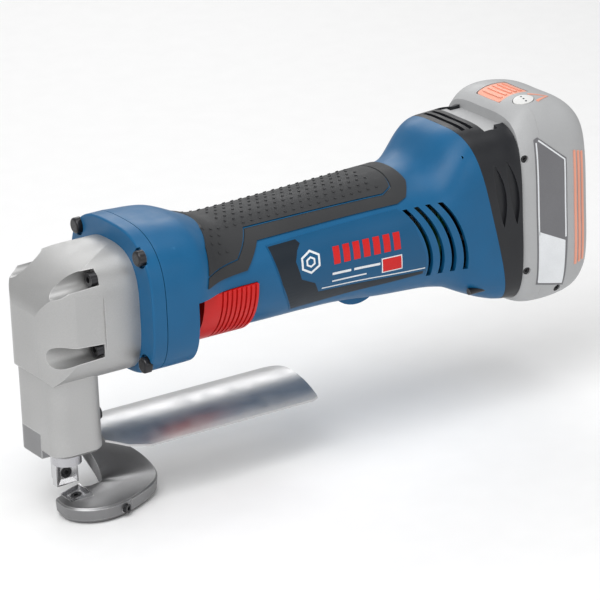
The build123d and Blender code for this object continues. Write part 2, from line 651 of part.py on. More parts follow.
# Bearing bracket between the gearbox and the motor.
PLATE_FRONT_X = COVER_REAR_X + 0.1
PLATE_REAR_X = 34.0
GEAR_BEARING_X = 19.4
GEAR_BEARING_R = 9.5
MOTOR_BEARING_X = 27.0
MOTOR_BEARING_R = 9.5
with BuildPart() as bearing_bracket:
    with BuildSketch(Plane.YZ.offset(PLATE_FRONT_X)):
        with BuildLine():
            Spline(*oval(43.0, 40.0, 39.7, 2.8, 3.3, inset=WALL + 0.3), periodic=True)
        make_face()
        with Locations(*FLANGE_SCREWS):
            Circle(6.2, mode=Mode.SUBTRACT)
    extrude(amount=3.0)
    with BuildSketch(Plane.YZ.offset(PLATE_FRONT_X)):
        with Locations((0.0, GEAR_Z)):
            Circle(GEAR_BEARING_R + 2.5)
    extrude(amount=8.9)
    with BuildSketch(Plane.YZ.offset(PLATE_FRONT_X + 2.0)):
        with Locations((0.0, ROTOR_Z)):
            Circle(MOTOR_BEARING_R + 2.5)
    extrude(amount=PLATE_REAR_X - PLATE_FRONT_X - 2.0)
    with BuildSketch(Plane.YZ.offset(PLATE_FRONT_X)):
        with Locations((0.0, GEAR_Z)):
            Circle(GEAR_BEARING_R)
    extrude(amount=6.4, mode=Mode.SUBTRACT)
    with BuildSketch(Plane.YZ.offset(MOTOR_BEARING_X)):
        with Locations((0.0, ROTOR_Z)):
            Circle(MOTOR_BEARING_R)
    extrude(amount=10.0, mode=Mode.SUBTRACT)
    with BuildSketch(Plane.YZ.offset(PLATE_FRONT_X - 1.0)):
        with Locations((0.0, ROTOR_Z)):
            Circle(5.0)
    extrude(amount=20.0, mode=Mode.SUBTRACT)
    with BuildSketch(Plane.YZ.offset(PLATE_FRONT_X - 1.0)):
        with Locations(*HEAD_SCREWS):
            Circle(HEAD_SCREW_R + SEAT_GAP)
    extrude(amount=20.0, mode=Mode.SUBTRACT)

# ---------------------------------------------------------------- gear train
with BuildPart() as drive_gear:
    with BuildSketch(Plane.YZ.offset(5.2)):
        with Locations((0.0, GEAR_Z)):
            Polygon(*gear_points(GEAR_TEETH, GEAR_MODULE), align=None, rotation=90.0)
    extrude(amount=8.0)
    with BuildSketch(Plane.YZ.offset(5.2)):
        with Locations((0.0, GEAR_Z)):
            Circle(5.0)
    extrude(amount=8.0, mode=Mode.SUBTRACT)
    with BuildSketch(Plane.YZ.offset(5.2)):
        with Locations((0.0, GEAR_Z)):
            Circle(10.6)
            Circle(7.0, mode=Mode.SUBTRACT)
    extrude(amount=1.6, mode=Mode.SUBTRACT)

CRANK_PIN_R = 4.0
with BuildPart() as crank_shaft:
    with BuildSketch(Plane.YZ.offset(-8.4)):
        with Locations((0.0, GEAR_Z)):
            Circle(5.0)
    extrude(amount=22.8)
    with BuildSketch(Plane.YZ.offset(14.0)):
        with Locations((0.0, GEAR_Z)):
            Circle(3.0)
    extrude(amount=11.2)
    with BuildSketch(Plane.YZ.offset(-10.8)):
        with Locations((-0.8, GEAR_Z)):
            Circle(8.6)
    extrude(amount=2.4)
    with BuildSketch(Plane.YZ.offset(-29.4)):
        with Locations((CRANK_THROW, GEAR_Z)):
            Circle(CRANK_PIN_R)
    extrude(amount=19.0)

with BuildPart() as crank_roller:
    with BuildSketch(Plane.YZ.offset(RAM_X - 5.6)):
        with Locations((CRANK_THROW, GEAR_Z)):
            Circle(ROLLER_R)
            Circle(CRANK_PIN_R, mode=Mode.SUBTRACT)
    extrude(amount=11.2)


def ball_bearing(x, z, bore_r, outer_r, width):
    """A sealed ball bearing as one ring with the grooves of its shields."""
    with BuildPart() as bearing:
        with BuildSketch(Plane.YZ.offset(x)):
            with Locations((0.0, z)):
                Circle(outer_r)
                Circle(bore_r, mode=Mode.SUBTRACT)
        extrude(amount=width)
        ring_inner = bore_r + 0.3 * (outer_r - bore_r)
        ring_outer = bore_r + 0.72 * (outer_r - bore_r)
        with BuildSketch(Plane.YZ.offset(x), Plane.YZ.offset(x + width - 0.4)):
            with Locations((0.0, z)):
                Circle(ring_outer)
                Circle(ring_inner, mode=Mode.SUBTRACT)
        extrude(amount=0.4, mode=Mode.SUBTRACT)
    return bearing


FRONT_BEARING_X = -7.9
front_crank_bearing = ball_bearing(FRONT_BEARING_X, GEAR_Z, 5.0 + RUNNING_GAP, 13.0, 8.0)
rear_crank_bearing = ball_bearing(GEAR_BEARING_X, GEAR_Z, 3.0 + RUNNING_GAP, GEAR_BEARING_R, 6.0)
front_motor_bearing = ball_bearing(MOTOR_BEARING_X + 0.1, ROTOR_Z, 4.0 + RUNNING_GAP, MOTOR_BEARING_R, 6.6)
REAR_MOTOR_BEARING_X = 133.0
rear_motor_bearing = ball_bearing(REAR_MOTOR_BEARING_X, ROTOR_Z, 3.0 + RUNNING_GAP, 8.0, 5.0)

# ---------------------------------------------------------------- motor
ARMATURE_R = 14.0
CAN_OUTER_R = 22.3
CAN_INNER_R = 20.6
with BuildPart() as rotor_shaft:
    with BuildSketch(Plane.YZ.offset(5.4)):
        with Locations((0.0, ROTOR_Z)):
            Polygon(*gear_points(PINION_TEETH, GEAR_MODULE), align=None, rotation=112.5)
    extrude(amount=10.6)
    with BuildSketch(Plane.YZ.offset(15.9)):
        with Locations((0.0, ROTOR_Z)):
            Circle(4.0)
    extrude(amount=46.0)
    with BuildSketch(Plane.YZ.offset(61.8)):
        with Locations((0.0, ROTOR_Z)):
            Circle(3.0)
    extrude(amount=76.0)

with BuildPart() as armature_core:
    with BuildSketch(Plane.YZ.offset(66.0)):
        with Locations((0.0, ROTOR_Z)):
            Circle(ARMATURE_R)
            Circle(3.0, mode=Mode.SUBTRACT)
            with PolarLocations(ARMATURE_R, 10):
                Rectangle(3.4, 1.6, mode=Mode.SUBTRACT)
            with PolarLocations(ARMATURE_R - 3.4, 10):
                Circle(1.9, mode=Mode.SUBTRACT)
    extrude(amount=34.0)

with BuildPart() as armature_windings:
    for start in (59.0, 100.1):
        with BuildSketch(Plane.YZ.offset(start)):
            with Locations((0.0, ROTOR_Z)):
                Circle(12.4)
                Circle(4.2 if start < 66.0 else 3.2, mode=Mode.SUBTRACT)
        extrude(amount=6.9)
    with BuildSketch(Plane.YZ.offset(59.0)):
        with Locations((0.0, ROTOR_Z)):
            with PolarLocations(ARMATURE_R - 3.4, 10):
                Circle(1.7)
    extrude(amount=48.0)

with BuildPart() as commutator:
    with BuildSketch(Plane.YZ.offset(110.0)):
        with Locations((0.0, ROTOR_Z)):
            Circle(8.5)
            Circle(3.0, mode=Mode.SUBTRACT)
            with PolarLocations(8.5, 10):
                Rectangle(1.6, 0.5, mode=Mode.SUBTRACT)
    extrude(amount=13.0)

FAN_X = 40.0
with BuildPart() as motor_fan:
    with BuildSketch(Plane.YZ.offset(FAN_X)):
        with Locations((0.0, ROTOR_Z)):
            Circle(20.0)
            Circle(4.0, mode=Mode.SUBTRACT)
    extrude(amount=1.6)
    with BuildSketch(Plane.YZ.offset(FAN_X)):
        with Locations((0.0, ROTOR_Z)):
            Circle(7.0)
            Circle(4.0, mode=Mode.SUBTRACT)
    extrude(amount=11.0)
    with BuildSketch(Plane.YZ.offset(FAN_X + 1.5)):
        with Locations((0.0, ROTOR_Z)):
            with PolarLocations(14.5, 12):
                Rectangle(11.0, 1.2, rotation=24.0)
    extrude(amount=8.5)

with BuildPart() as motor_can:
    with BuildSketch(Plane.YZ.offset(54.0)):
        with Locations((0.0, ROTOR_Z)):
            Circle(CAN_OUTER_R)
            Circle(CAN_INNER_R, mode=Mode.SUBTRACT)
    extrude(amount=56.0)
    with BuildSketch(Plane.YZ.offset(54.0)):
        with Locations((0.0, ROTOR_Z)):
            Circle(CAN_OUTER_R)
            Circle(10.0, mode=Mode.SUBTRACT)
            with PolarLocations(15.4, 4, start_angle=45.0):
                Circle(3.4, mode=Mode.SUBTRACT)
    extrude(amount=1.8)

with BuildPart() as field_magnets:
    with BuildSketch(Plane.YZ.offset(62.0)):
        with Locations((0.0, ROTOR_Z)):
            Circle(CAN_INNER_R - SEAT_GAP)
            Circle(ARMATURE_R + 0.6, mode=Mode.SUBTRACT)
            Rectangle(60.0, 9.0, mode=Mode.SUBTRACT)
            Rectangle(9.0, 60.0, mode=Mode.SUBTRACT)
    extrude(amount=42.0)

BRUSH_X = 113.0
with BuildPart() as brush_bracket:
    with BuildSketch(Plane.YZ.offset(110.1)):
        with Locations((0.0, ROTOR_Z)):
            Circle(CAN_OUTER_R)
            Circle(18.6, mode=Mode.SUBTRACT)
    extrude(amount=22.9)
    with BuildSketch(Plane.YZ.offset(131.0)):
        with Locations((0.0, ROTOR_Z)):
            Circle(CAN_OUTER_R)
            Circle(4.5, mode=Mode.SUBTRACT)
    extrude(amount=1.9)
    with BuildSketch(Plane.YZ.offset(132.8)):
        with Locations((0.0, ROTOR_Z)):
            Circle(10.6)
            Circle(8.0 + SEAT_GAP, mode=Mode.SUBTRACT)
    extrude(amount=5.4)
    # Guides of the two carbon brushes.
    with BuildSketch(Plane.XZ.offset(19.4), Plane.XZ.offset(-9.4)):
        with Locations((BRUSH_X + 4.0, ROTOR_Z)):
            Rectangle(8.0, 9.4)
    extrude(amount=-10.0)
    with BuildSketch(Plane.XZ.offset(24.0), Plane.XZ.offset(-9.0)):
        with Locations((BRUSH_X + 4.0, ROTOR_Z)):
            Rectangle(5.2, 6.6)
    extrude(amount=-15.0, mode=Mode.SUBTRACT)

with BuildPart() as carbon_brushes:
    with BuildSketch(Plane.XZ.offset(15.4), Plane.XZ.offset(-8.9)):
        with Locations((BRUSH_X + 4.0, ROTOR_Z)):
            Rectangle(5.0, 6.4)
    extrude(amount=-6.5)

with BuildPart() as brush_springs:
    with BuildSketch(Plane.XZ.offset(20.4), Plane.XZ.offset(-15.5)):
        with Locations((BRUSH_X + 4.0, ROTOR_Z)):
            Circle(2.2)
            Circle(1.6, mode=Mode.SUBTRACT)
    extrude(amount=-4.9)

# ---------------------------------------------------------------- handle shell
# Window of the slide button: a wedge of the wall on the lower near side.
BUTTON_X = 46.0
BUTTON_LENGTH = 33.5
BUTTON_LOW_DEG = 72.0
BUTTON_HIGH_DEG = 1.0


def near_wedge(high_deg, low_deg, reach=60.0):
    """Wedge seen along X, from the handle axis to the lower near side."""
    high = (-reach * cos(high_deg * pi / 180), AXIS_Z - reach * sin(high_deg * pi / 180))
    low = (-reach * cos(low_deg * pi / 180), AXIS_Z - reach * sin(low_deg * pi / 180))
    return [(0.0, AXIS_Z), low, (-reach * 1.2, AXIS_Z - reach * 1.1), high]


VENT_COUNT = 4
VENT_PITCH = 7.2
VENT_FIRST_X = 173.4
VENT_TOP_Z = 131.0
VENT_LOW_Z = 90.0
VENT_SLANT = 14.0
VENT_BULGE = 11.0
VENT_WIDTH = 3.0
with BuildPart() as vent_cutter:
    for slot in range(VENT_COUNT):
        top_x = VENT_FIRST_X + VENT_PITCH * slot
        middle_x = top_x + VENT_BULGE
        low_x = top_x + VENT_SLANT
        with BuildSketch(Plane.XZ.offset(SIDE_REACH)):
            with BuildLine():
                ThreePointArc((top_x, VENT_TOP_Z), (middle_x, 111.0), (low_x, VENT_LOW_Z))
                Line((low_x, VENT_LOW_Z), (low_x + VENT_WIDTH, VENT_LOW_Z))
                ThreePointArc(
                    (low_x + VENT_WIDTH, VENT_LOW_Z), (middle_x + VENT_WIDTH, 111.0),
                    (top_x + VENT_WIDTH, VENT_TOP_Z),
                )
                Line((top_x + VENT_WIDTH, VENT_TOP_Z), (top_x, VENT_TOP_Z))
            make_face()
        extrude(amount=-2 * SIDE_REACH)

# The rib between the inner panel and the border of the soft grip.
with BuildSketch() as panel_inside:
    Polygon(*PANEL_OUTLINE, align=None)
    offset(amount=-RIB_HALF, kind=Kind.INTERSECTION)
with BuildPart() as panel_rib:
    with BuildSketch(Plane.XZ.offset(SIDE_REACH)):
        Polygon(*PANEL_OUTLINE, align=None)
        offset(amount=RIB_HALF, kind=Kind.INTERSECTION)
        add(panel_inside.sketch_local, mode=Mode.SUBTRACT)
    extrude(amount=-2 * SIDE_REACH)

with BuildPart() as grip_seat:
    with BuildSketch(Plane.XZ.offset(SIDE_REACH)):
        Polygon(*grip_outline(SEAT_GAP), align=None)
    extrude(amount=-2 * SIDE_REACH)
    add(panel_rib.part, mode=Mode.SUBTRACT)
    add(grip_floor, mode=Mode.SUBTRACT)

with BuildPart() as soft_grip:
    with BuildSketch(Plane.XZ.offset(SIDE_REACH)):
        Polygon(*grip_outline(0.0), align=None)
    extrude(amount=-2 * SIDE_REACH)
    add(panel_rib.part, mode=Mode.SUBTRACT)
    add(grip_outer, mode=Mode.INTERSECT)
    add(handle_solid(GRIP_DEPTH - SEAT_GAP), mode=Mode.SUBTRACT)

# Space in front of the leaning joint, and the space behind it.
with BuildPart() as front_space:
    with BuildSketch(Plane.XZ.offset(SIDE_REACH)):
        Polygon((10.0, 50.0), SPLIT_LOW, SPLIT_HIGH, (10.0, 168.0), align=None)
    extrude(amount=-2 * SIDE_REACH)
with BuildPart() as rear_space:
    with BuildSketch(Plane.XZ.offset(SIDE_REACH)):
        Polygon(
            (SPLIT_LOW[0] + 0.15, SPLIT_LOW[1]), (260.0, SPLIT_LOW[1]), (260.0, SPLIT_HIGH[1]),
            (SPLIT_HIGH[0] + 0.15, SPLIT_HIGH[1]), align=None,
        )
    extrude(amount=-2 * SIDE_REACH)

with BuildPart() as screw_bosses:
    with BuildSketch(Plane.YZ.offset(COVER_REAR_X)):
        with Locations(*FLANGE_SCREWS):
            Circle(5.6)
    extrude(amount=20.0)
    add(handle_outer, mode=Mode.INTERSECT)

# Bosses for the screws of the rear cover.
COVER_SCREWS = [(-30.0, 151.5), (30.0, 151.5), (-30.0, 74.0), (30.0, 74.0)]
COVER_SCREW_R = 1.8
COVER_SCREW_HEAD_R = 3.4
COVER_SCREW_TIP_X = 213.0
with BuildPart() as rear_bosses:
    with BuildSketch(Plane.YZ.offset(212.0)):
        with Locations(*COVER_SCREWS):
            Circle(4.6)
    extrude(amount=26.0)
    add(handle_outer, mode=Mode.INTERSECT)

# Low stop for the hand under the rear of the grip.
with BuildPart() as hump:
    with BuildSketch(Plane.XZ.offset(9.0)):
        with BuildLine():
            ThreePointArc((144.0, 80.0), (155.0, 74.9), (166.0, 77.6))
            Line((166.0, 77.6), (144.0, 80.0))
        make_face()
    extrude(amount=-18.0)

with BuildPart() as main_housing:
    add(handle_outer)
    add(handle_inner, mode=Mode.SUBTRACT)
    add(screw_bosses.part)
    add(rear_bosses.part)
    add(hump.part)
    with BuildSketch(Plane.YZ.offset(BUTTON_X - SLIDER_TRAVEL - 1.4)):
        Polygon(*near_wedge(BUTTON_HIGH_DEG - 0.8, BUTTON_LOW_DEG + 0.8), align=None)
    extrude(amount=SLIDER_TRAVEL + 1.4 + BUTTON_LENGTH + BODY_GAP, mode=Mode.SUBTRACT)
    add(vent_cutter.part, mode=Mode.SUBTRACT)
    add(grip_seat.part, mode=Mode.SUBTRACT)
    with BuildSketch(Plane.YZ.offset(COVER_REAR_X - 1.0)):
        with Locations(*FLANGE_SCREWS):
            Circle(2.1)
    extrude(amount=12.6, mode=Mode.SUBTRACT)
    with BuildSketch(Plane.YZ.offset(COVER_SCREW_TIP_X)):
        with Locations(*COVER_SCREWS):
            Circle(COVER_SCREW_R + SEAT_GAP)
    extrude(amount=30.0, mode=Mode.SUBTRACT)
    add(front_space.part, mode=Mode.INTERSECT)

# ---------------------------------------------------------------- name plate, blank
PLATE_OUTLINE = [
    (88.5, 129.6), (170.5, 132.0), (176.0, 128.0), (184.6, 104.0), (186.0, 92.4),
    (104.0, 88.6), (97.0, 101.0), (92.0, 116.0),
]
with BuildPart() as name_plate:
    with BuildSketch(Plane.XZ.offset(0.0)):
        Polygon(*PLATE_OUTLINE, align=None)
    extrude(amount=SIDE_REACH)
    add(label_outer, mode=Mode.INTERSECT)
    add(label_floor, mode=Mode.SUBTRACT)
    add(vent_cutter.part, mode=Mode.SUBTRACT)

# ---------------------------------------------------------------- slide button and its linkage
BUTTON_INNER_R = 28.6
BUTTON_SKIRT_R = 26.9
BUTTON_OUTER_R = 35.4
RIB_COUNT = 8
RIB_PITCH = 2.9
RIB_FIRST_X = 56.6
with BuildPart() as slide_button:
    with BuildSketch(Plane.YZ.offset(BUTTON_X)):
        with Locations((0.0, AXIS_Z)):
            Circle(BUTTON_OUTER_R)
            Circle(BUTTON_INNER_R, mode=Mode.SUBTRACT)
    extrude(amount=BUTTON_LENGTH)
    # Grooves between the finger ribs.
    for rib in range(RIB_COUNT):
        with BuildSketch(Plane.YZ.offset(RIB_FIRST_X + RIB_PITCH * rib)):
            with Locations((0.0, AXIS_Z)):
                Circle(BUTTON_OUTER_R + 1.0)
                Circle(BUTTON_OUTER_R - 1.1, mode=Mode.SUBTRACT)
        extrude(amount=1.2, mode=Mode.SUBTRACT)
    with BuildSketch(Plane.YZ.offset(BUTTON_X - 1.0)):
        Polygon(*near_wedge(BUTTON_HIGH_DEG, BUTTON_LOW_DEG), align=None)
    extrude(amount=BUTTON_LENGTH + 2.0, mode=Mode.INTERSECT)
with BuildPart() as button_skirt:
    with BuildSketch(Plane.YZ.offset(BUTTON_X + 7.0)):
        with Locations((0.0, AXIS_Z)):
            Circle(BUTTON_INNER_R + 0.2)
            Circle(BUTTON_SKIRT_R, mode=Mode.SUBTRACT)
    extrude(amount=BUTTON_LENGTH - 7.0)
    with BuildSketch(Plane.YZ.offset(BUTTON_X)):
        Polygon(*near_wedge(BUTTON_HIGH_DEG + 4.0, BUTTON_LOW_DEG - 4.0), align=None)
    extrude(amount=BUTTON_LENGTH + 2.0, mode=Mode.INTERSECT)
with BuildPart() as slide_button_whole:
    add(slide_button.part)
    add(button_skirt.part)
slide_button = slide_button_whole

ROD_Y = -20.0
ROD_Z = 95.5
with BuildPart() as switch_rod:
    with BuildSketch(Plane.YZ.offset(BUTTON_X + 12.0)):
        with Locations((ROD_Y, ROD_Z)):
            Rectangle(2.4, 4.6)
    extrude(amount=98.0)
    with BuildSketch(Plane.YZ.offset(152.0)):
        with Locations((-12.5, ROD_Z)):
            Rectangle(17.4, 4.6)
    extrude(amount=4.0)

with BuildPart() as slide_button_with_seat:
    add(slide_button.part)
    with BuildSketch(Plane.YZ.offset(BUTTON_X + 12.0 - SEAT_GAP)):
        with Locations((ROD_Y, ROD_Z)):
            Rectangle(2.4 + 2 * SEAT_GAP, 4.6 + 2 * SEAT_GAP)
    extrude(amount=BUTTON_LENGTH, mode=Mode.SUBTRACT)
slide_button = slide_button_with_seat

SWITCH_X = 163.0
with BuildPart() as switch_module:
    with BuildSketch(Plane.XY.offset(90.0)):
        with Locations((SWITCH_X + 15.0, -2.0)):
            RectangleRounded(30.0, 26.0, 2.0)
    extrude(amount=30.0)
    with BuildSketch(Plane.YZ.offset(SWITCH_X)):
        with Locations((-6.0, ROD_Z)):
            Circle(3.0)
    extrude(amount=-0.4, mode=Mode.ADD)
    with BuildSketch(Plane.XY.offset(120.0)):
        with Locations((SWITCH_X + 8.0, -2.0), (SWITCH_X + 22.0, -2.0)):
            Rectangle(0.8, 6.0)
    extrude(amount=6.0)

with BuildPart() as control_board:
    with BuildSketch(Plane.YZ.offset(202.0)):
        with Locations((0.0, 112.0)):
            RectangleRounded(44.0, 40.0, 3.0)
    extrude(amount=1.6)
    with BuildSketch(Plane.YZ.offset(203.5)):
        with Locations((-10.0, 112.0), (10.0, 118.0)):
            Circle(6.0)
        with Locations((8.0, 101.0)):
            Rectangle(14.0, 8.0)
    extrude(amount=9.0)

with BuildPart() as motor_leads:
    for side in (-1.0, 1.0):
        with BuildLine():
            lead = Spline(
                (140.4, 7.0 * side, 132.0), (150.0, 8.0 * side, 134.0),
                (162.0, 6.0 * side, 131.0), (176.0, 6.0 * side, 130.5), (201.0, 8.0 * side, 121.0),
            )
        with BuildSketch(Plane(origin=lead @ 0, z_dir=lead % 0)):
            Circle(1.3)
        sweep(path=lead)

# ---------------------------------------------------------------- rear cover and pack rails
SLOT_HEAD_X = 232.5
SLOT_NECK_X = 241.6
SLOT_LOW_Z = 68.0
COVER_SCREW_SEAT_X = 243.6
HEAD_HALF = 24.0
NECK_HALF = 20.0
with BuildPart() as rear_core:
    with BuildSketch(Plane.XZ.offset(SIDE_REACH)):
        Polygon((229.0, 40.0), (260.0, 40.0), (260.0, 180.0), (229.0, 180.0), align=None)
    extrude(amount=-2 * SIDE_REACH)
    add(handle_outer, mode=Mode.INTERSECT)

with BuildPart() as rear_cover:
    add(handle_outer)
    add(handle_inner, mode=Mode.SUBTRACT)
    add(rear_core.part)
    add(rear_space.part, mode=Mode.INTERSECT)
    for side in (-1.0, 1.0):
        with BuildSketch(Plane.YZ.offset(227.0)):
            with Locations((31.4 * side, 112.0)):
                Rectangle(7.2, 64.0)
        extrude(amount=17.5, mode=Mode.SUBTRACT)
    # T-shaped slot for the tower of the pack, open upwards.
    with BuildSketch(Plane.XY.offset(SLOT_LOW_Z)):
        with Locations(((SLOT_HEAD_X + SLOT_NECK_X) / 2, 0.0)):
            Rectangle(SLOT_NECK_X - SLOT_HEAD_X, 2 * HEAD_HALF + 1.2)
        with Locations((SLOT_NECK_X + 4.0, 0.0)):
            Rectangle(9.0, 2 * NECK_HALF + 1.2)
    extrude(amount=120.0, mode=Mode.SUBTRACT)
    # Opening for the terminal block.
    with BuildSketch(Plane.YZ.offset(228.0)):
        with Locations((0.0, 82.0)):
            Rectangle(40.2, 20.2)
    extrude(amount=6.0, mode=Mode.SUBTRACT)
    # Two arched cooling recesses across the top, beside the slot of the pack.
    for front_x in (221.5, 226.6):
        with BuildSketch(Plane.YZ.offset(front_x)):
            with BuildLine():
                ThreePointArc((-19.0, 159.4), (0.0, 162.4), (19.0, 159.4))
                Polyline((19.0, 159.4), (19.0, 170.0), (-19.0, 170.0), (-19.0, 159.4))
            make_face()
        extrude(amount=2.6, mode=Mode.SUBTRACT)
    # Lens-shaped recesses on the flanks.
    for front_x in (229.5, 238.0):
        with BuildSketch(Plane.XZ.offset(SIDE_REACH)):
            with BuildLine():
                ThreePointArc((front_x, 147.0), (front_x + 7.2, 128.0), (front_x + 5.6, 109.0))
                ThreePointArc((front_x + 5.6, 109.0), (front_x + 1.0, 128.0), (front_x, 147.0))
            make_face()
        extrude(amount=-(SIDE_REACH - 36.4), mode=Mode.SUBTRACT)
        with BuildSketch(Plane.XZ.offset(-SIDE_REACH)):
            with BuildLine():
                ThreePointArc((front_x, 147.0), (front_x + 7.2, 128.0), (front_x + 5.6, 109.0))
                ThreePointArc((front_x + 5.6, 109.0), (front_x + 1.0, 128.0), (front_x, 147.0))
            make_face()
        extrude(amount=SIDE_REACH - 36.4, mode=Mode.SUBTRACT)

with BuildPart() as cover_with_screw_holes:
    add(rear_cover.part)
    with BuildSketch(Plane.YZ.offset(COVER_SCREW_TIP_X)):
        with Locations(*COVER_SCREWS):
            Circle(COVER_SCREW_R + SEAT_GAP)
    extrude(amount=40.0, mode=Mode.SUBTRACT)
    with BuildSketch(Plane.YZ.offset(COVER_SCREW_SEAT_X)):
        with Locations(*COVER_SCREWS):
            Circle(COVER_SCREW_HEAD_R + SEAT_GAP)
    extrude(amount=10.0, mode=Mode.SUBTRACT)
rear_cover = cover_with_screw_holes

with BuildPart() as cover_screws:
    with BuildSketch(Plane.YZ.offset(COVER_SCREW_SEAT_X + SEAT_GAP)):
        with Locations(*COVER_SCREWS):
            Circle(COVER_SCREW_HEAD_R)
    extrude(amount=3.0)
    with BuildSketch(Plane.YZ.offset(COVER_SCREW_SEAT_X + SEAT_GAP)):
        with Locations(*COVER_SCREWS):
            Circle(COVER_SCREW_R)
    extrude(amount=-28.0)
    with BuildSketch(Plane.YZ.offset(COVER_SCREW_SEAT_X + SEAT_GAP + 3.0)):
        with Locations(*COVER_SCREWS):
            RegularPolygon(1.7, 6)
    extrude(amount=-1.8, mode=Mode.SUBTRACT)

BLADE_Y = (-14.0, -5.0, 5.0, 14.0)
with BuildPart() as terminal_block:
    with BuildSketch(Plane.YZ.offset(228.2)):
        with Locations((0.0, 82.0)):
            Rectangle(40.0, 20.0)
    extrude(amount=4.2)
    with BuildSketch(Plane.YZ.offset(228.2)):
        with Locations(*[(y, 82.0) for y in BLADE_Y]):
            Rectangle(0.8, 10.0)
    extrude(amount=4.2, mode=Mode.SUBTRACT)
with BuildPart() as terminal_blades:
    with BuildSketch(Plane.YZ.offset(224.0)):
        with Locations(*[(y, 82.0) for y in BLADE_Y]):
            Rectangle(0.8, 10.0)
    extrude(amount=16.0)

# ---------------------------------------------------------------- battery pack
# x, half width, top, bottom
PACK_SECTIONS = [
    (247.9, 36.8, 53.4, 53.6),
    (251.0, 37.6, 56.4, 55.8),
    (255.0, 38.0, 58.8, 57.2),
    (260.6, 38.0, 60.2, 58.0),
    (266.0, 38.0, 60.4, 58.2),
    (272.0, 38.0, 59.8, 58.0),
    (278.0, 38.0, 58.6, 57.2),
    (284.0, 37.8, 56.6, 55.6),
    (288.6, 37.0, 53.8, 52.8),
    (292.0, 35.4, 50.2, 49.0),
]
PACK_POWER = 4.6
CAVITY_POWER = 5.6       # fuller corners inside, to clear the ends of the cells
PACK_WALL = 2.2


def pack_solid(inset, power=PACK_POWER):
    """Solid of the whole pack outline, moved inwards by inset."""
    with BuildPart() as solid:
        for x, width, top, bottom in PACK_SECTIONS:
            with BuildSketch(Plane.YZ.offset(x)):
                with BuildLine():
                    Spline(*oval(width, top, bottom, power, power, inset), periodic=True)
                make_face()
        loft()
    return solid.part


pack_outer = pack_solid(0.0)
pack_inner = pack_solid(PACK_WALL, CAVITY_POWER)
TOWER_FRONT_X = 233.2
TOWER_NECK_X = 240.9
TOWER_LOW_Z = 70.0
TOWER_TOP_Z = 160.5

RELEASE_X = 262.0
RELEASE_LENGTH = 19.0
RELEASE_WIDTH = 22.0
LEVEL_PLACE = (262.0, -20.0)
with BuildPart() as pack_front_case:
    add(pack_outer)
    with BuildSketch(Plane.YZ.offset(PACK_FRONT_X + PACK_WALL)):
        with BuildLine():
            Spline(*oval(36.0, 54.0, 53.2, CAVITY_POWER, CAVITY_POWER), periodic=True)
        make_face()
    extrude(amount=30.0, mode=Mode.SUBTRACT)
    with BuildSketch(Plane.XZ.offset(SIDE_REACH)):
        Polygon(
            (240.0, 40.0), (PACK_SEAM_X - SEAT_GAP, 40.0), (PACK_SEAM_X - SEAT_GAP, 190.0),
            (240.0, 190.0), align=None,
        )
    extrude(amount=-2 * SIDE_REACH, mode=Mode.INTERSECT)
    # Tower that slides in the T-shaped slot.
    with BuildSketch(Plane.XY.offset(TOWER_LOW_Z)):
        with Locations(((TOWER_FRONT_X + TOWER_NECK_X) / 2, 0.0)):
            Rectangle(TOWER_NECK_X - TOWER_FRONT_X, 2 * HEAD_HALF)
        with Locations(((TOWER_NECK_X + 249.0) / 2, 0.0)):
            Rectangle(249.0 - TOWER_NECK_X, 2 * NECK_HALF)
    extrude(amount=TOWER_TOP_Z - TOWER_LOW_Z)
    with BuildSketch(Plane.XY.offset(TOWER_LOW_Z + 22.0)):
        with Locations(((TOWER_FRONT_X + 252.0) / 2 + 1.0, 0.0)):
            Rectangle(252.0 - TOWER_FRONT_X - 2.0, 2 * NECK_HALF - 4.0)
    extrude(amount=TOWER_TOP_Z - TOWER_LOW_Z - 24.0, mode=Mode.SUBTRACT)
    # Slots for the blades, open at the lower end of the tower.
    with BuildSketch(Plane.XY.offset(TOWER_LOW_Z - 1.0)):
        with Locations(*[(TOWER_FRONT_X + 4.2, y) for y in BLADE_Y]):
            Rectangle(9.0, 4.4)
    extrude(amount=20.0, mode=Mode.SUBTRACT)
    # Wells of the two push buttons.
    with BuildSketch(Plane.XY.offset(150.0)):
        with Locations((RELEASE_X, 0.0)):
            Rectangle(RELEASE_LENGTH + 0.8, RELEASE_WIDTH + 0.8)
        with Locations(LEVEL_PLACE):
            Ellipse(6.5, 4.9)
    extrude(amount=40.0, mode=Mode.SUBTRACT)

with BuildPart() as pack_cavity:
    add(pack_inner)
    with BuildSketch(Plane.XZ.offset(SIDE_REACH)):
        Polygon(
            (240.0, 40.0), (PACK_BASE_X - PACK_WALL, 40.0), (PACK_BASE_X - PACK_WALL, 190.0),
            (240.0, 190.0), align=None,
        )
    extrude(amount=-2 * SIDE_REACH, mode=Mode.INTERSECT)

with BuildPart() as pack_rear_case:
    add(pack_outer)
    add(pack_cavity.part, mode=Mode.SUBTRACT)
    with BuildSketch(Plane.XZ.offset(SIDE_REACH)):
        Polygon(
            (PACK_SEAM_X + SEAT_GAP, 40.0), (300.0, 40.0), (300.0, 190.0),
            (PACK_SEAM_X + SEAT_GAP, 190.0), align=None,
        )
    extrude(amount=-2 * SIDE_REACH, mode=Mode.INTERSECT)
    with BuildSketch(Plane.XY.offset(150.0)):
        with Locations((RELEASE_X, 0.0)):
            Rectangle(RELEASE_LENGTH + 0.8, RELEASE_WIDTH + 0.8)
        with Locations(LEVEL_PLACE):
            Ellipse(6.5, 4.9)
    extrude(amount=40.0, mode=Mode.SUBTRACT)

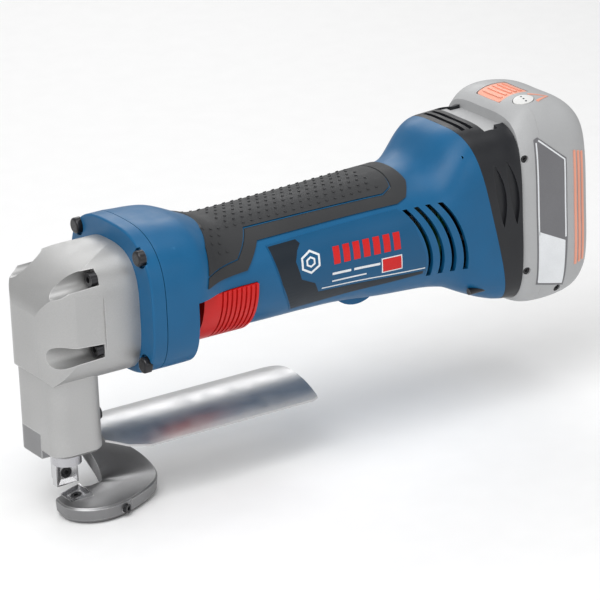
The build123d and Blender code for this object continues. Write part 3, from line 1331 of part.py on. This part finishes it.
# Case screws on both flanks: x, z and the half width of the pack at that place.
PACK_SCREWS = [(250.4, 144.9, 36.2), (250.4, 80.1, 36.2), (272.8, 64.0, 32.4)]
PACK_SCREW_R = 1.2
PACK_SCREW_HEAD_R = 2.1
pack_screw_planes = [
    Plane(origin=(x, side * (width - 1.7), z), x_dir=(1.0, 0.0, 0.0), z_dir=(0.0, side, 0.0))
    for x, z, width in PACK_SCREWS
    for side in (-1.0, 1.0)
]
with BuildPart() as pack_screws:
    with BuildSketch(*pack_screw_planes):
        Circle(PACK_SCREW_HEAD_R)
    extrude(amount=1.2)
    with BuildSketch(*pack_screw_planes):
        Circle(PACK_SCREW_R)
    extrude(amount=-2.4)
    with BuildSketch(*[plane.offset(1.2) for plane in pack_screw_planes]):
        RegularPolygon(1.2, 6)
    extrude(amount=-0.8, mode=Mode.SUBTRACT)
with BuildPart() as pack_screw_bores:
    with BuildSketch(*[plane.offset(-SEAT_GAP) for plane in pack_screw_planes]):
        Circle(PACK_SCREW_HEAD_R + 2 * SEAT_GAP)
    extrude(amount=8.0)
    with BuildSketch(*pack_screw_planes):
        Circle(PACK_SCREW_R + SEAT_GAP)
    extrude(amount=-2.8)
with BuildPart() as front_case_with_bores:
    add(pack_front_case.part)
    add(pack_screw_bores.part, mode=Mode.SUBTRACT)
pack_front_case = front_case_with_bores
with BuildPart() as rear_case_with_bores:
    add(pack_rear_case.part)
    add(pack_screw_bores.part, mode=Mode.SUBTRACT)
pack_rear_case = rear_case_with_bores

pack_button_skin = pack_solid(0.3)
with BuildPart() as release_button:
    with BuildSketch(Plane.XY.offset(165.6)):
        with Locations((RELEASE_X, 0.0)):
            RectangleRounded(RELEASE_LENGTH, RELEASE_WIDTH, 2.0)
    extrude(amount=12.0)
    add(pack_button_skin, mode=Mode.INTERSECT)

with BuildPart() as level_button:
    with BuildSketch(Plane.XY.offset(165.0)):
        with Locations(LEVEL_PLACE):
            Ellipse(6.1, 4.5)
    extrude(amount=12.0)
    add(pack_solid(-0.2), mode=Mode.INTERSECT)

CELL_R = 9.1
CELL_HALF = 31.5
CELL_PITCH = 18.4
CELL_LOW_Z = 75.2
cell_places = [(x, CELL_LOW_Z + CELL_PITCH * row) for x in (259.6, 278.2) for row in range(5)]
with BuildPart() as battery_cells:
    with BuildSketch(Plane.XZ.offset(CELL_HALF)):
        with Locations(*cell_places):
            Circle(CELL_R)
    extrude(amount=-2 * CELL_HALF)

with BuildPart() as cell_straps:
    for side_y in (CELL_HALF + 0.05, -CELL_HALF - 0.35):
        with BuildSketch(Plane.XZ.offset(-side_y)):
            with Locations(*[(268.9, CELL_LOW_Z + CELL_PITCH * row) for row in range(5)]):
                Rectangle(26.0, 8.0)
        extrude(amount=-0.3)

with BuildPart() as pack_board:
    with BuildSketch(Plane.YZ.offset(245.0)):
        with Locations((0.0, 126.0)):
            Rectangle(34.0, 62.0)
    extrude(amount=1.6)

with BuildPart() as pack_contacts:
    for y in BLADE_Y:
        with BuildSketch(Plane.YZ.offset(TOWER_FRONT_X + 3.4)):
            with Locations((y - 1.4, 82.0), (y + 1.4, 82.0)):
                Rectangle(0.6, 9.0)
        extrude(amount=5.0)

# ---------------------------------------------------------------- labels and files
pieces = {
    "gear_head": gear_head,
    "head_screws": head_screws,
    "ram_bush": ram_bush,
    "ram": ram,
    "ram_yoke": ram_yoke,
    "yoke_pin": yoke_pin,
    "upper_knife": upper_knife,
    "upper_knife_screw": upper_knife_screw,
    "lower_knife": lower_knife,
    "lower_knife_screw": lower_knife_screw,
    "table_frame": table_frame,
    "gap_set_screw": gap_set_screw,
    "table_bolts": table_bolts,
    "deflector_tongue": deflector_tongue,
    "tongue_screws": tongue_screws,
    "gearbox_cover": gearbox_cover,
    "flange_screws": flange_screws,
    "bearing_bracket": bearing_bracket,
    "drive_gear": drive_gear,
    "crank_shaft": crank_shaft,
    "crank_roller": crank_roller,
    "front_crank_bearing": front_crank_bearing,
    "rear_crank_bearing": rear_crank_bearing,
    "front_motor_bearing": front_motor_bearing,
    "rear_motor_bearing": rear_motor_bearing,
    "rotor_shaft": rotor_shaft,
    "armature_core": armature_core,
    "armature_windings": armature_windings,
    "commutator": commutator,
    "motor_fan": motor_fan,
    "motor_can": motor_can,
    "field_magnets": field_magnets,
    "brush_bracket": brush_bracket,
    "carbon_brushes": carbon_brushes,
    "brush_springs": brush_springs,
    "main_housing": main_housing,
    "soft_grip": soft_grip,
    "name_plate": name_plate,
    "slide_button": slide_button,
    "switch_rod": switch_rod,
    "switch_module": switch_module,
    "control_board": control_board,
    "motor_leads": motor_leads,
    "rear_cover": rear_cover,
    "cover_screws": cover_screws,
    "terminal_block": terminal_block,
    "terminal_blades": terminal_blades,
    "pack_front_case": pack_front_case,
    "pack_rear_case": pack_rear_case,
    "pack_screws": pack_screws,
    "release_button": release_button,
    "level_button": level_button,
    "battery_cells": battery_cells,
    "cell_straps": cell_straps,
    "pack_board": pack_board,
    "pack_contacts": pack_contacts,
}
for name, piece in pieces.items():
    piece.part.label = name
    export_step(piece.part, f"parts/{name}.step")
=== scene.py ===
import bmesh
import bpy
import json
from math import cos, radians, sin
from mathutils import Matrix, Vector
from mathutils.bvhtree import BVHTree


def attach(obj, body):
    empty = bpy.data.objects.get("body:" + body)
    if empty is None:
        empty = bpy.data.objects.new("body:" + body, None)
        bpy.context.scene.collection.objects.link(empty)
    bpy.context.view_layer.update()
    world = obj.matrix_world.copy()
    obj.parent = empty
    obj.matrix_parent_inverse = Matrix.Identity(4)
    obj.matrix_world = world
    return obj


# Cordless sheet-metal shear. Metres, in the frame of the CAD model.
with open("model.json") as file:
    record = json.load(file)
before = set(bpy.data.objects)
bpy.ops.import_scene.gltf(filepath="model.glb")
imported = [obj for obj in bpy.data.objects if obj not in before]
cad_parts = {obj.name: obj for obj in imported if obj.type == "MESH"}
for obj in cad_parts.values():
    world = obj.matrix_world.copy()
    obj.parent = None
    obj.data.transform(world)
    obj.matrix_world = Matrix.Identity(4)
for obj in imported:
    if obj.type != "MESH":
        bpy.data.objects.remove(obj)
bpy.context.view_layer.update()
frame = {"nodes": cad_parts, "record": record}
nodes = frame["nodes"]
record = frame["record"]
MM = 0.001
scene = bpy.context.scene
WHITE = (1.0, 1.0, 1.0)


# ---------------------------------------------------------------- materials
def new_material(name):
    """An empty node material with its shader; returns material, nodes, links, shader."""
    made = bpy.data.materials.new(name)
    made.use_nodes = True
    tree = made.node_tree
    shader = tree.nodes["Principled BSDF"]
    return made, tree.nodes, tree.links, shader


def noise(shader_nodes, links, source, size_mm, detail=3.0, stretch=(1.0, 1.0, 1.0)):
    """Noise whose features are about size_mm across, in the piece's own coordinates."""
    mapping = shader_nodes.new("ShaderNodeMapping")
    mapping.inputs["Scale"].default_value = stretch
    links.new(source, mapping.inputs["Vector"])
    texture = shader_nodes.new("ShaderNodeTexNoise")
    texture.inputs["Scale"].default_value = 1.0 / (size_mm * MM)
    texture.inputs["Detail"].default_value = detail
    links.new(mapping.outputs["Vector"], texture.inputs["Vector"])
    return texture.outputs["Fac"]


# Where noise and the dot product of an edge turn from one look to the other.
NOISE_START = 0.3
NOISE_END = 0.7
EDGE_START = 0.80
EDGE_END = 0.985
EDGE_SAMPLES = 4


def spread(shader_nodes, links, value, low, high, start=NOISE_START, end=NOISE_END):
    """Maps a value from start..end to low..high."""
    mapped = shader_nodes.new("ShaderNodeMapRange")
    mapped.inputs["From Min"].default_value = start
    mapped.inputs["From Max"].default_value = end
    mapped.inputs["To Min"].default_value = low
    mapped.inputs["To Max"].default_value = high
    links.new(value, mapped.inputs["Value"])
    return mapped.outputs["Result"]


def edge_mask(shader_nodes, links, radius_mm):
    """1 along convex and concave edges, 0 on flat ground."""
    bevel = shader_nodes.new("ShaderNodeBevel")
    bevel.samples = EDGE_SAMPLES
    bevel.inputs["Radius"].default_value = radius_mm * MM
    geometry = shader_nodes.new("ShaderNodeNewGeometry")
    dot = shader_nodes.new("ShaderNodeVectorMath")
    dot.operation = "DOT_PRODUCT"
    links.new(bevel.outputs["Normal"], dot.inputs[0])
    links.new(geometry.outputs["Normal"], dot.inputs[1])
    return spread(shader_nodes, links, dot.outputs["Value"], 1.0, 0.0, EDGE_START, EDGE_END)


def mix_colour(shader_nodes, links, fac, first, second):
    """Mixes two colours, each a socket or a tuple, by fac."""
    mix = shader_nodes.new("ShaderNodeMix")
    mix.data_type = "RGBA"
    links.new(fac, mix.inputs["Factor"])
    for socket, value in ((mix.inputs[6], first), (mix.inputs[7], second)):
        if isinstance(value, tuple):
            socket.default_value = (*value, 1.0)
        else:
            links.new(value, socket)
    return mix.outputs[2]


MOTTLE_MM = 18.0
SMUDGE_MM = 9.0
SPECK_AMOUNT = 0.35
SPECK_SHADE = 0.78
PATCHY_LEAST = 0.45
SMOOTHER = 0.05
ROUGHER = 0.06


def finish_material(
    name, colour, roughness, metallic=0.0, variation=0.06, grain_mm=0.5,
    bump_mm=0.012, stretch=(1.0, 1.0, 1.0), edge_colour=None, edge_mm=0.5, edge_amount=0.6,
    specular=0.5,
):
    """A plastic, rubber or metal with mottling, grain, a rough-smooth play and lighter edges."""
    made, parts, links, shader = new_material(name)
    place = parts.new("ShaderNodeTexCoord").outputs["Object"]
    mottle = noise(parts, links, place, MOTTLE_MM)
    grain = noise(parts, links, place, grain_mm, 2.0, stretch)
    smudge = noise(parts, links, place, SMUDGE_MM, 4.0)
    light = tuple(min(1.0, c * (1.0 + variation)) for c in colour)
    dark = tuple(c * (1.0 - variation) for c in colour)
    fac = spread(parts, links, mottle, 0.0, 1.0)
    base = mix_colour(parts, links, fac, dark, light)
    speck = spread(parts, links, grain, 0.0, SPECK_AMOUNT)
    base = mix_colour(parts, links, speck, base, tuple(c * SPECK_SHADE for c in colour))
    # Edges, convex and concave alike, turn in patches toward a lighter colour.
    if edge_colour:
        along_edges = edge_mask(parts, links, edge_mm)
        patchy = parts.new("ShaderNodeMath")
        patchy.operation = "MULTIPLY"
        links.new(along_edges, patchy.inputs[0])
        amount = spread(parts, links, smudge, PATCHY_LEAST * edge_amount, edge_amount)
        links.new(amount, patchy.inputs[1])
        base = mix_colour(parts, links, patchy.outputs[0], base, edge_colour)
    links.new(base, shader.inputs["Base Color"])
    rough = spread(parts, links, smudge, roughness - SMOOTHER, roughness + ROUGHER)
    links.new(rough, shader.inputs["Roughness"])
    shader.inputs["Metallic"].default_value = metallic
    shader.inputs["Specular IOR Level"].default_value = specular
    bump = parts.new("ShaderNodeBump")
    bump.inputs["Strength"].default_value = 1.0
    bump.inputs["Distance"].default_value = bump_mm * MM
    links.new(grain, bump.inputs["Height"])
    links.new(bump.outputs["Normal"], shader.inputs["Normal"])
    return made


CAST = (0.47, 0.47, 0.467)
# Lighter colour mixed into the edges of the metal finishes.
BRIGHT = (0.80, 0.80, 0.80)
BLUE = (0.005, 0.104, 0.245)
FINISHES = {
    "cast": dict(colour=CAST, roughness=0.47, metallic=0.70, variation=0.05, grain_mm=0.55,
                 bump_mm=0.035, edge_colour=BRIGHT, edge_mm=0.8, edge_amount=0.7),
    "steel_black": dict(colour=(0.035, 0.035, 0.038), roughness=0.30, metallic=0.6, grain_mm=0.3,
                        edge_colour=(0.45, 0.45, 0.45), edge_mm=0.2, edge_amount=0.8),
    "tool_steel": dict(colour=(0.62, 0.62, 0.63), roughness=0.20, metallic=1.0, grain_mm=0.25,
                       bump_mm=0.006, stretch=(1.0, 1.0, 8.0), edge_colour=BRIGHT, edge_mm=0.3),
    "steel": dict(colour=(0.50, 0.50, 0.52), roughness=0.25, metallic=1.0, grain_mm=0.3,
                  bump_mm=0.005, stretch=(0.4, 0.4, 5.0)),
    "table_steel": dict(colour=(0.25, 0.25, 0.255), roughness=0.36, metallic=0.85, variation=0.10,
                        grain_mm=0.5, bump_mm=0.03, edge_colour=BRIGHT, edge_mm=0.9, edge_amount=0.95),
    "sheet_steel": dict(colour=(0.52, 0.52, 0.525), roughness=0.36, metallic=0.9, variation=0.04,
                        grain_mm=0.22, bump_mm=0.002, stretch=(0.06, 1.0, 1.0), edge_colour=BRIGHT,
                        edge_mm=0.5),
    "bronze": dict(colour=(0.50, 0.31, 0.12), roughness=0.38, metallic=1.0, grain_mm=0.3),
    "brass": dict(colour=(0.72, 0.50, 0.20), roughness=0.25, metallic=1.0, grain_mm=0.3),
    "copper": dict(colour=(0.62, 0.25, 0.11), roughness=0.30, metallic=1.0, grain_mm=0.35,
                   bump_mm=0.05, stretch=(4.0, 0.5, 0.5)),
    "blue_shell": dict(colour=BLUE, roughness=0.40, variation=0.05, grain_mm=0.35, bump_mm=0.014,
                       edge_colour=(0.05, 0.22, 0.42), edge_mm=0.5, edge_amount=0.35, specular=0.30),
    "dark_shell": dict(colour=(0.014, 0.015, 0.018), roughness=0.42, grain_mm=0.4, bump_mm=0.02,
                       edge_colour=(0.07, 0.07, 0.08), edge_mm=0.5, edge_amount=0.5, specular=0.35),
    "grip_rubber": dict(colour=(0.030, 0.031, 0.033), roughness=0.58, grain_mm=0.3,
                        bump_mm=0.05, variation=0.10, specular=0.35),
    "red_plastic": dict(colour=(0.62, 0.007, 0.006), roughness=0.36, variation=0.05, grain_mm=0.3,
                        bump_mm=0.01, edge_colour=(0.75, 0.10, 0.08), edge_mm=0.4, edge_amount=0.4,
                        specular=0.30),
    "label_film": dict(colour=(0.004, 0.085, 0.200), roughness=0.36, variation=0.03, grain_mm=0.3,
                       bump_mm=0.004, specular=0.30),
    "pack_grey": dict(colour=(0.42, 0.425, 0.43), roughness=0.46, variation=0.04, grain_mm=0.4,
                      bump_mm=0.018, edge_colour=(0.58, 0.58, 0.58), edge_mm=0.5, edge_amount=0.5),
    "pack_red": dict(colour=(0.84, 0.36, 0.25), roughness=0.42, variation=0.05, grain_mm=0.3,
                     edge_colour=(0.85, 0.40, 0.30), edge_mm=0.4, edge_amount=0.4),
    "pale_plastic": dict(colour=(0.74, 0.74, 0.73), roughness=0.35, variation=0.03, grain_mm=0.3),
    "black_plastic": dict(colour=(0.02, 0.02, 0.021), roughness=0.45, grain_mm=0.4, bump_mm=0.02),
    "ferrite": dict(colour=(0.05, 0.05, 0.055), roughness=0.55, grain_mm=0.4, bump_mm=0.03),
    "carbon": dict(colour=(0.03, 0.03, 0.03), roughness=0.5, grain_mm=0.2, bump_mm=0.02),
    "zinc_steel": dict(colour=(0.58, 0.58, 0.60), roughness=0.3, metallic=1.0, grain_mm=0.5),
    "lamination": dict(colour=(0.30, 0.30, 0.32), roughness=0.4, metallic=1.0, grain_mm=0.5,
                       bump_mm=0.03, stretch=(3.0, 0.2, 0.2)),
    "board": dict(colour=(0.01, 0.12, 0.04), roughness=0.35, grain_mm=0.8),
    "wire": dict(colour=(0.30, 0.012, 0.01), roughness=0.45, grain_mm=0.4),
    "cell_sleeve": dict(colour=(0.02, 0.22, 0.24), roughness=0.3, grain_mm=0.8),
}
materials = {slot: finish_material(slot, **finish) for slot, finish in FINISHES.items()}

for subpart in record["subparts"]:
    cad_materials = nodes[subpart["node"]].data.materials
    cad_materials.clear()
    cad_materials.append(materials[subpart["material_slot"]])

print_white = finish_material("print_white", (0.80, 0.82, 0.84), 0.34, bump_mm=0.003)
print_dark = finish_material(
    "print_dark", (0.008, 0.014, 0.022), 0.36, bump_mm=0.004, specular=0.3
)
print_red = finish_material(
    "print_red", (0.62, 0.010, 0.010), 0.34, bump_mm=0.003, specular=0.3
)
print_grey = finish_material("print_grey", (0.16, 0.16, 0.17), 0.40, bump_mm=0.004)


# ---------------------------------------------------------------- pieces laid on a surface
def surface(*names):
    """Search tree over the meshes of these CAD nodes."""
    points = []
    faces = []
    for name in names:
        mesh = nodes[name].data
        first = len(points)
        points += [vertex.co.copy() for vertex in mesh.vertices]
        faces += [[first + index for index in face.vertices] for face in mesh.polygons]
    return BVHTree.FromPolygons(points, faces)


# Starts of the rays, well outside the tool.
OUTSIDE_Y = 0.15
ABOVE_Z = 0.30
OUTSIDE_GRIP = 0.1
GRIP_AXIS_Z = 0.113
GRIP_RADIUS = 0.034


def cast_near(tree, first, second):
    """Point and outward normal of the near flank at x, z."""
    start = Vector((first, -OUTSIDE_Y, second))
    hit, normal, _, _ = tree.ray_cast(start, Vector((0.0, 1.0, 0.0)))
    return hit, normal


def cast_far(tree, first, second):
    """Point and outward normal of the far flank at x, z."""
    start = Vector((first, OUTSIDE_Y, second))
    hit, normal, _, _ = tree.ray_cast(start, Vector((0.0, -1.0, 0.0)))
    return hit, normal


def cast_top(tree, first, second):
    """Point and outward normal of the top at x, y."""
    start = Vector((first, second, ABOVE_Z))
    hit, normal, _, _ = tree.ray_cast(start, Vector((0.0, 0.0, -1.0)))
    return hit, normal


def cast_round(tree, first, second):
    """Point and outward normal at x and an arc length round the handle from its top line."""
    around = second / GRIP_RADIUS
    outward = Vector((0.0, sin(around), cos(around)))
    start = Vector((first, 0.0, GRIP_AXIS_Z)) + outward * OUTSIDE_GRIP
    hit, normal, _, _ = tree.ray_cast(start, -outward)
    return hit, normal


SEAM_STEPS_MM = (0.0, 0.3, -0.3, 0.8, -0.8)


def over_seam(cast, tree, first, second):
    """As cast, but a ray that falls into an open seam takes the surface beside it."""
    for step in SEAM_STEPS_MM:
        hit, normal = cast(tree, first + step * MM, second)
        if hit is not None:
            return hit - Vector((step * MM, 0.0, 0.0)), normal
    raise ValueError(f"no surface under {first:.4f}, {second:.4f}")


MOST_SPLITS = 6
SAME_POINT_MM = 0.01


def lay_on(
    name, shapes, tree, cast, material, body, height_mm=0.12, step_mm=2.5, sink_mm=0.25,
):
    """Thin closed plates over a surface, one for each outline in millimetres."""
    built = bmesh.new()
    for outline in shapes:
        loop = [built.verts.new((u * MM, v * MM, 0.0)) for u, v in outline]
        built.faces.new(loop)
    bmesh.ops.remove_doubles(built, verts=built.verts[:], dist=SAME_POINT_MM * MM)
    bmesh.ops.triangulate(built, faces=built.faces[:], ngon_method="EAR_CLIP")
    for _ in range(MOST_SPLITS):
        long_edges = [edge for edge in built.edges if edge.calc_length() > step_mm * MM]
        if not long_edges:
            break
        bmesh.ops.subdivide_edges(built, edges=long_edges, cuts=1)
        bmesh.ops.triangulate(built, faces=built.faces[:])
    under = {}
    for vertex in built.verts:
        hit, normal = over_seam(cast, tree, vertex.co.x, vertex.co.y)
        under[vertex] = (hit + normal * height_mm * MM, hit - normal * sink_mm * MM)
    rim = [edge for edge in built.edges if edge.is_boundary]
    top_faces = built.faces[:]
    low = {vertex: built.verts.new(points[1]) for vertex, points in under.items()}
    for face in top_faces:
        built.faces.new([low[vertex] for vertex in reversed(face.verts)])
    for edge in rim:
        first, second = edge.verts
        built.faces.new([first, second, low[second], low[first]])
    for vertex, points in under.items():
        vertex.co = points[0]
    bmesh.ops.recalc_face_normals(built, faces=built.faces[:])
    mesh = bpy.data.meshes.new(name)
    built.to_mesh(mesh)
    built.free()
    mesh.materials.append(material)
    piece = bpy.data.objects.new(name, mesh)
    scene.collection.objects.link(piece)
    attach(piece, body)


def ribbon(points, width):
    """Outline of a band of this width along a polyline."""
    left = []
    right = []
    for index, point in enumerate(points):
        before = Vector(points[max(index - 1, 0)])
        after = Vector(points[min(index + 1, len(points) - 1)])
        along = (after - before).normalized()
        side = Vector((-along.y, along.x)) * width / 2
        left.append(tuple(Vector(point) + side))
        right.append(tuple(Vector(point) - side))
    return left + right[::-1]


def circle(centre, radius, start=0.0, end=360.0, count=40):
    """Points along an arc."""
    return [
        (
            centre[0] + radius * cos(radians(start + (end - start) * i / count)),
            centre[1] + radius * sin(radians(start + (end - start) * i / count)),
        )
        for i in range(count + 1)
    ]


def arc_band(centre, radius, width, start, end, count=24):
    """Band along an arc, as outlines of four corners that share their ends."""
    outer = circle(centre, radius + width / 2, start, end, count)
    inner = circle(centre, radius - width / 2, start, end, count)
    return [
        [outer[i], outer[i + 1], inner[i + 1], inner[i]]
        for i in range(count)
    ]


def rectangle(low_u, low_v, high_u, high_v, lean=0.0):
    """Corners of a rectangle whose top leans by lean."""
    return [(low_u, low_v), (high_u, low_v), (high_u + lean, high_v), (low_u + lean, high_v)]


# ---------------------------------------------------------------- print on the name plate
plate = surface("name_plate", "main_housing")
lay_on(
    "plate_bracket",
    [[
        (89.2, 128.9), (106.4, 129.3), (108.4, 127.0), (105.8, 124.0), (103.9, 118.3),
        (107.1, 107.6), (115.7, 103.4), (118.8, 97.2), (186.2, 94.6), (186.3, 93.0),
        (104.4, 89.2), (100.2, 96.5), (95.2, 107.3), (91.2, 121.0),
    ]],
    plate, cast_near, print_dark, "body", 0.10, 3.0,
)
lay_on(
    "plate_line", [ribbon([(120.6, 98.9), (156.0, 97.6), (185.0, 96.4)], 0.55)],
    plate, cast_near, print_white, "body", 0.14,
)
EMBLEM = (113.0, 116.2)
HEXAGON = 6
lay_on(
    "plate_emblem",
    arc_band(EMBLEM, 6.0, 1.3, 30.0, 390.0, HEXAGON)
    + arc_band(EMBLEM, 2.6, 1.1, 30.0, 390.0, HEXAGON),
    plate, cast_near, print_white, "body", 0.14, 2.0,
)
BAR_X = 127.4
BAR_WIDTH = 4.0
BAR_PITCH = 6.2
BAR_COUNT = 7
bar_shapes = [
    rectangle(BAR_X + BAR_PITCH * i, 111.6, BAR_X + BAR_WIDTH + BAR_PITCH * i, 121.4, -0.4)
    for i in range(BAR_COUNT)
]
lay_on("plate_bars", bar_shapes, plate, cast_near, print_red, "body", 0.16)
lay_on(
    "plate_strokes",
    [
        ribbon([(126.4, 106.3), (138.0, 106.0)], 1.3),
        ribbon([(140.0, 106.0), (156.0, 105.6)], 1.3),
        ribbon([(126.6, 101.8), (148.0, 101.4)], 0.8),
    ],
    plate, cast_near, print_white, "body", 0.14,
)
lay_on(
    "plate_tag_edge", [rectangle(157.6, 99.6, 170.2, 108.4, -0.9)],
    plate, cast_near, print_white, "body", 0.10,
)
lay_on(
    "plate_tag", [rectangle(158.2, 100.2, 169.6, 107.8, -0.9)],
    plate, cast_near, print_red, "body", 0.16,
)

# ---------------------------------------------------------------- studs of the grip
STUD_PITCH = 5.2
STUD_RADIUS = 0.8
STUD_ROWS = 7
# The panel starts further back on top, and ends sooner low on the flanks.
TOP_ARC = 16.0
LONG_ARC = 20.0
grip_studs = []
for row in range(-STUD_ROWS, STUD_ROWS):
    arc = (row + 0.5) * STUD_PITCH
    first_x = (72.0 if abs(arc) < TOP_ARC else 57.0) + STUD_PITCH / 2 * (row % 2)
    last_x = 168.0 if abs(arc) < LONG_ARC else 67.0
    for i in range(int((last_x - first_x) / STUD_PITCH) + 1):
        centre = (first_x + STUD_PITCH * i, arc)
        grip_studs.append(circle(centre, STUD_RADIUS, 0.0, 315.0, 7))
lay_on(
    "grip_studs", grip_studs, surface("soft_grip"), cast_round, materials["grip_rubber"], "body",
    0.40, 3.0,
)

# ---------------------------------------------------------------- battery pack details
pack = surface("pack_front_case", "pack_rear_case")
for side_name, cast in (("near", cast_near), ("far", cast_far)):
    lay_on(
        f"pack_label_{side_name}",
        [[
            (256.6, 154.4), (259.2, 155.4), (277.4, 140.4), (277.2, 94.6), (276.2, 65.4),
            (256.8, 70.4),
        ]],
        pack, cast, print_grey, "pack", 0.20, 4.0, 0.3,
    )
    lay_on(
        f"pack_label_frame_{side_name}",
        [
            ribbon([(258.0, 152.6), (258.2, 71.8)], 0.9),
            ribbon([(259.6, 153.6), (276.2, 139.8), (276.0, 95.0)], 0.9),
        ],
        pack, cast, print_white, "pack", 0.30, 3.0,
    )
    lay_on(
        f"pack_label_foot_{side_name}",
        [[(258.0, 101.6), (275.6, 93.0), (275.0, 67.0), (258.0, 71.2)]],
        pack, cast, print_white, "pack", 0.30, 3.0,
    )
    lay_on(
        f"pack_grip_ribs_{side_name}",
        [
            rectangle(282.2 + 2.6 * i, 77.0 + 0.8 * i, 283.6 + 2.6 * i, 143.4 - 0.8 * i)
            for i in range(3)
        ],
        pack, cast, materials["pack_red"], "pack", 0.5, 3.0,
    )
lay_on(
    "pack_chevron",
    [ribbon([(268.0, -24.5), (278.0, -20.0), (268.0, -15.6)], 1.6)],
    pack, cast_top, materials["pack_red"], "pack", 0.25, 2.0,
)
release_top = surface("release_button")
lay_on(
    "release_ribs",
    [rectangle(255.0 + 3.2 * i, -8.6, 256.4 + 3.2 * i, 8.6) for i in range(5)],
    release_top, cast_top, materials["pack_red"], "release_key", 0.55, 3.0,
)
level_top = surface("level_button")
lay_on(
    "level_dots",
    [circle((262.0 + 0.2 * i, -22.6 + 2.6 * i), 0.55, 0.0, 340.0, 16) for i in range(3)],
    level_top, cast_top, print_dark, "level_key", 0.10, 2.0,
)

# ---------------------------------------------------------------- floor, light and camera
floor_mesh = bpy.data.meshes.new("floor")
reach = 9.0
below = 0.0002
floor_mesh.from_pydata(
    [(-reach, -reach, 0.0), (reach, -reach, 0.0), (reach, reach, 0.0), (-reach, reach, 0.0)],
    [], [(0, 1, 2, 3)],
)
floor = bpy.data.objects.new("floor", floor_mesh)
floor.location.z = -below
floor_mesh.materials.append(
    finish_material("floor_paper", (0.95, 0.95, 0.95), 0.62, variation=0.01, bump_mm=0.01)
)
scene.collection.objects.link(floor)

TARGET = Vector((0.119823, -0.010015, 0.086018))


def softbox(name, azimuth, elevation, distance, size, power):
    """Rectangular soft light that looks at the tool."""
    lamp = bpy.data.lights.new(name, "AREA")
    lamp.shape = "RECTANGLE"
    lamp.size = size[0]
    lamp.size_y = size[1]
    lamp.energy = power
    holder = bpy.data.objects.new(name, lamp)
    around = radians(azimuth)
    above = radians(elevation)
    back = Vector((sin(around) * cos(above), -cos(around) * cos(above), sin(above)))
    holder.location = TARGET + back * distance
    holder.rotation_mode = "QUATERNION"
    holder.rotation_quaternion = (-back).to_track_quat("-Z", "Y")
    scene.collection.objects.link(holder)


softbox("key", -62.0, 48.0, 1.3, (0.9, 0.7), 9.0)
softbox("front", 8.0, 22.0, 1.6, (1.0, 0.6), 3.0)
softbox("overhead", 20.0, 82.0, 1.2, (1.1, 0.7), 5.0)
softbox("rim", 160.0, 30.0, 1.4, (0.9, 0.5), 4.0)

world = bpy.data.worlds.new("studio")
world.use_nodes = True
background = world.node_tree.nodes["Background"]
background.inputs["Color"].default_value = (*WHITE, 1.0)
background.inputs["Strength"].default_value = 0.46
scene.world = world
scene.view_settings.view_transform = "Standard"

CAMERA_AZIMUTH = radians(-31.58)
CAMERA_ELEVATION = radians(20.70)
CAMERA_ROLL = radians(2.44)
CAMERA_DISTANCE = 2.0968
camera_data = bpy.data.cameras.new("camera")
camera_data.lens = 234.0
camera_data.sensor_width = 36.0
camera_data.clip_start = 0.05
camera_data.clip_end = 50.0
camera = bpy.data.objects.new("camera", camera_data)
back = Vector((
    sin(CAMERA_AZIMUTH) * cos(CAMERA_ELEVATION),
    -cos(CAMERA_AZIMUTH) * cos(CAMERA_ELEVATION),
    sin(CAMERA_ELEVATION),
))
right = Vector((cos(CAMERA_AZIMUTH), sin(CAMERA_AZIMUTH), 0.0))
upward = back.cross(right)
rolled_right = right * cos(CAMERA_ROLL) - upward * sin(CAMERA_ROLL)
rolled_up = right * sin(CAMERA_ROLL) + upward * cos(CAMERA_ROLL)
turn = Matrix((rolled_right, rolled_up, back)).transposed().to_4x4()
camera.matrix_world = Matrix.Translation(TARGET + back * CAMERA_DISTANCE) @ turn
scene.collection.objects.link(camera)
scene.camera = camera
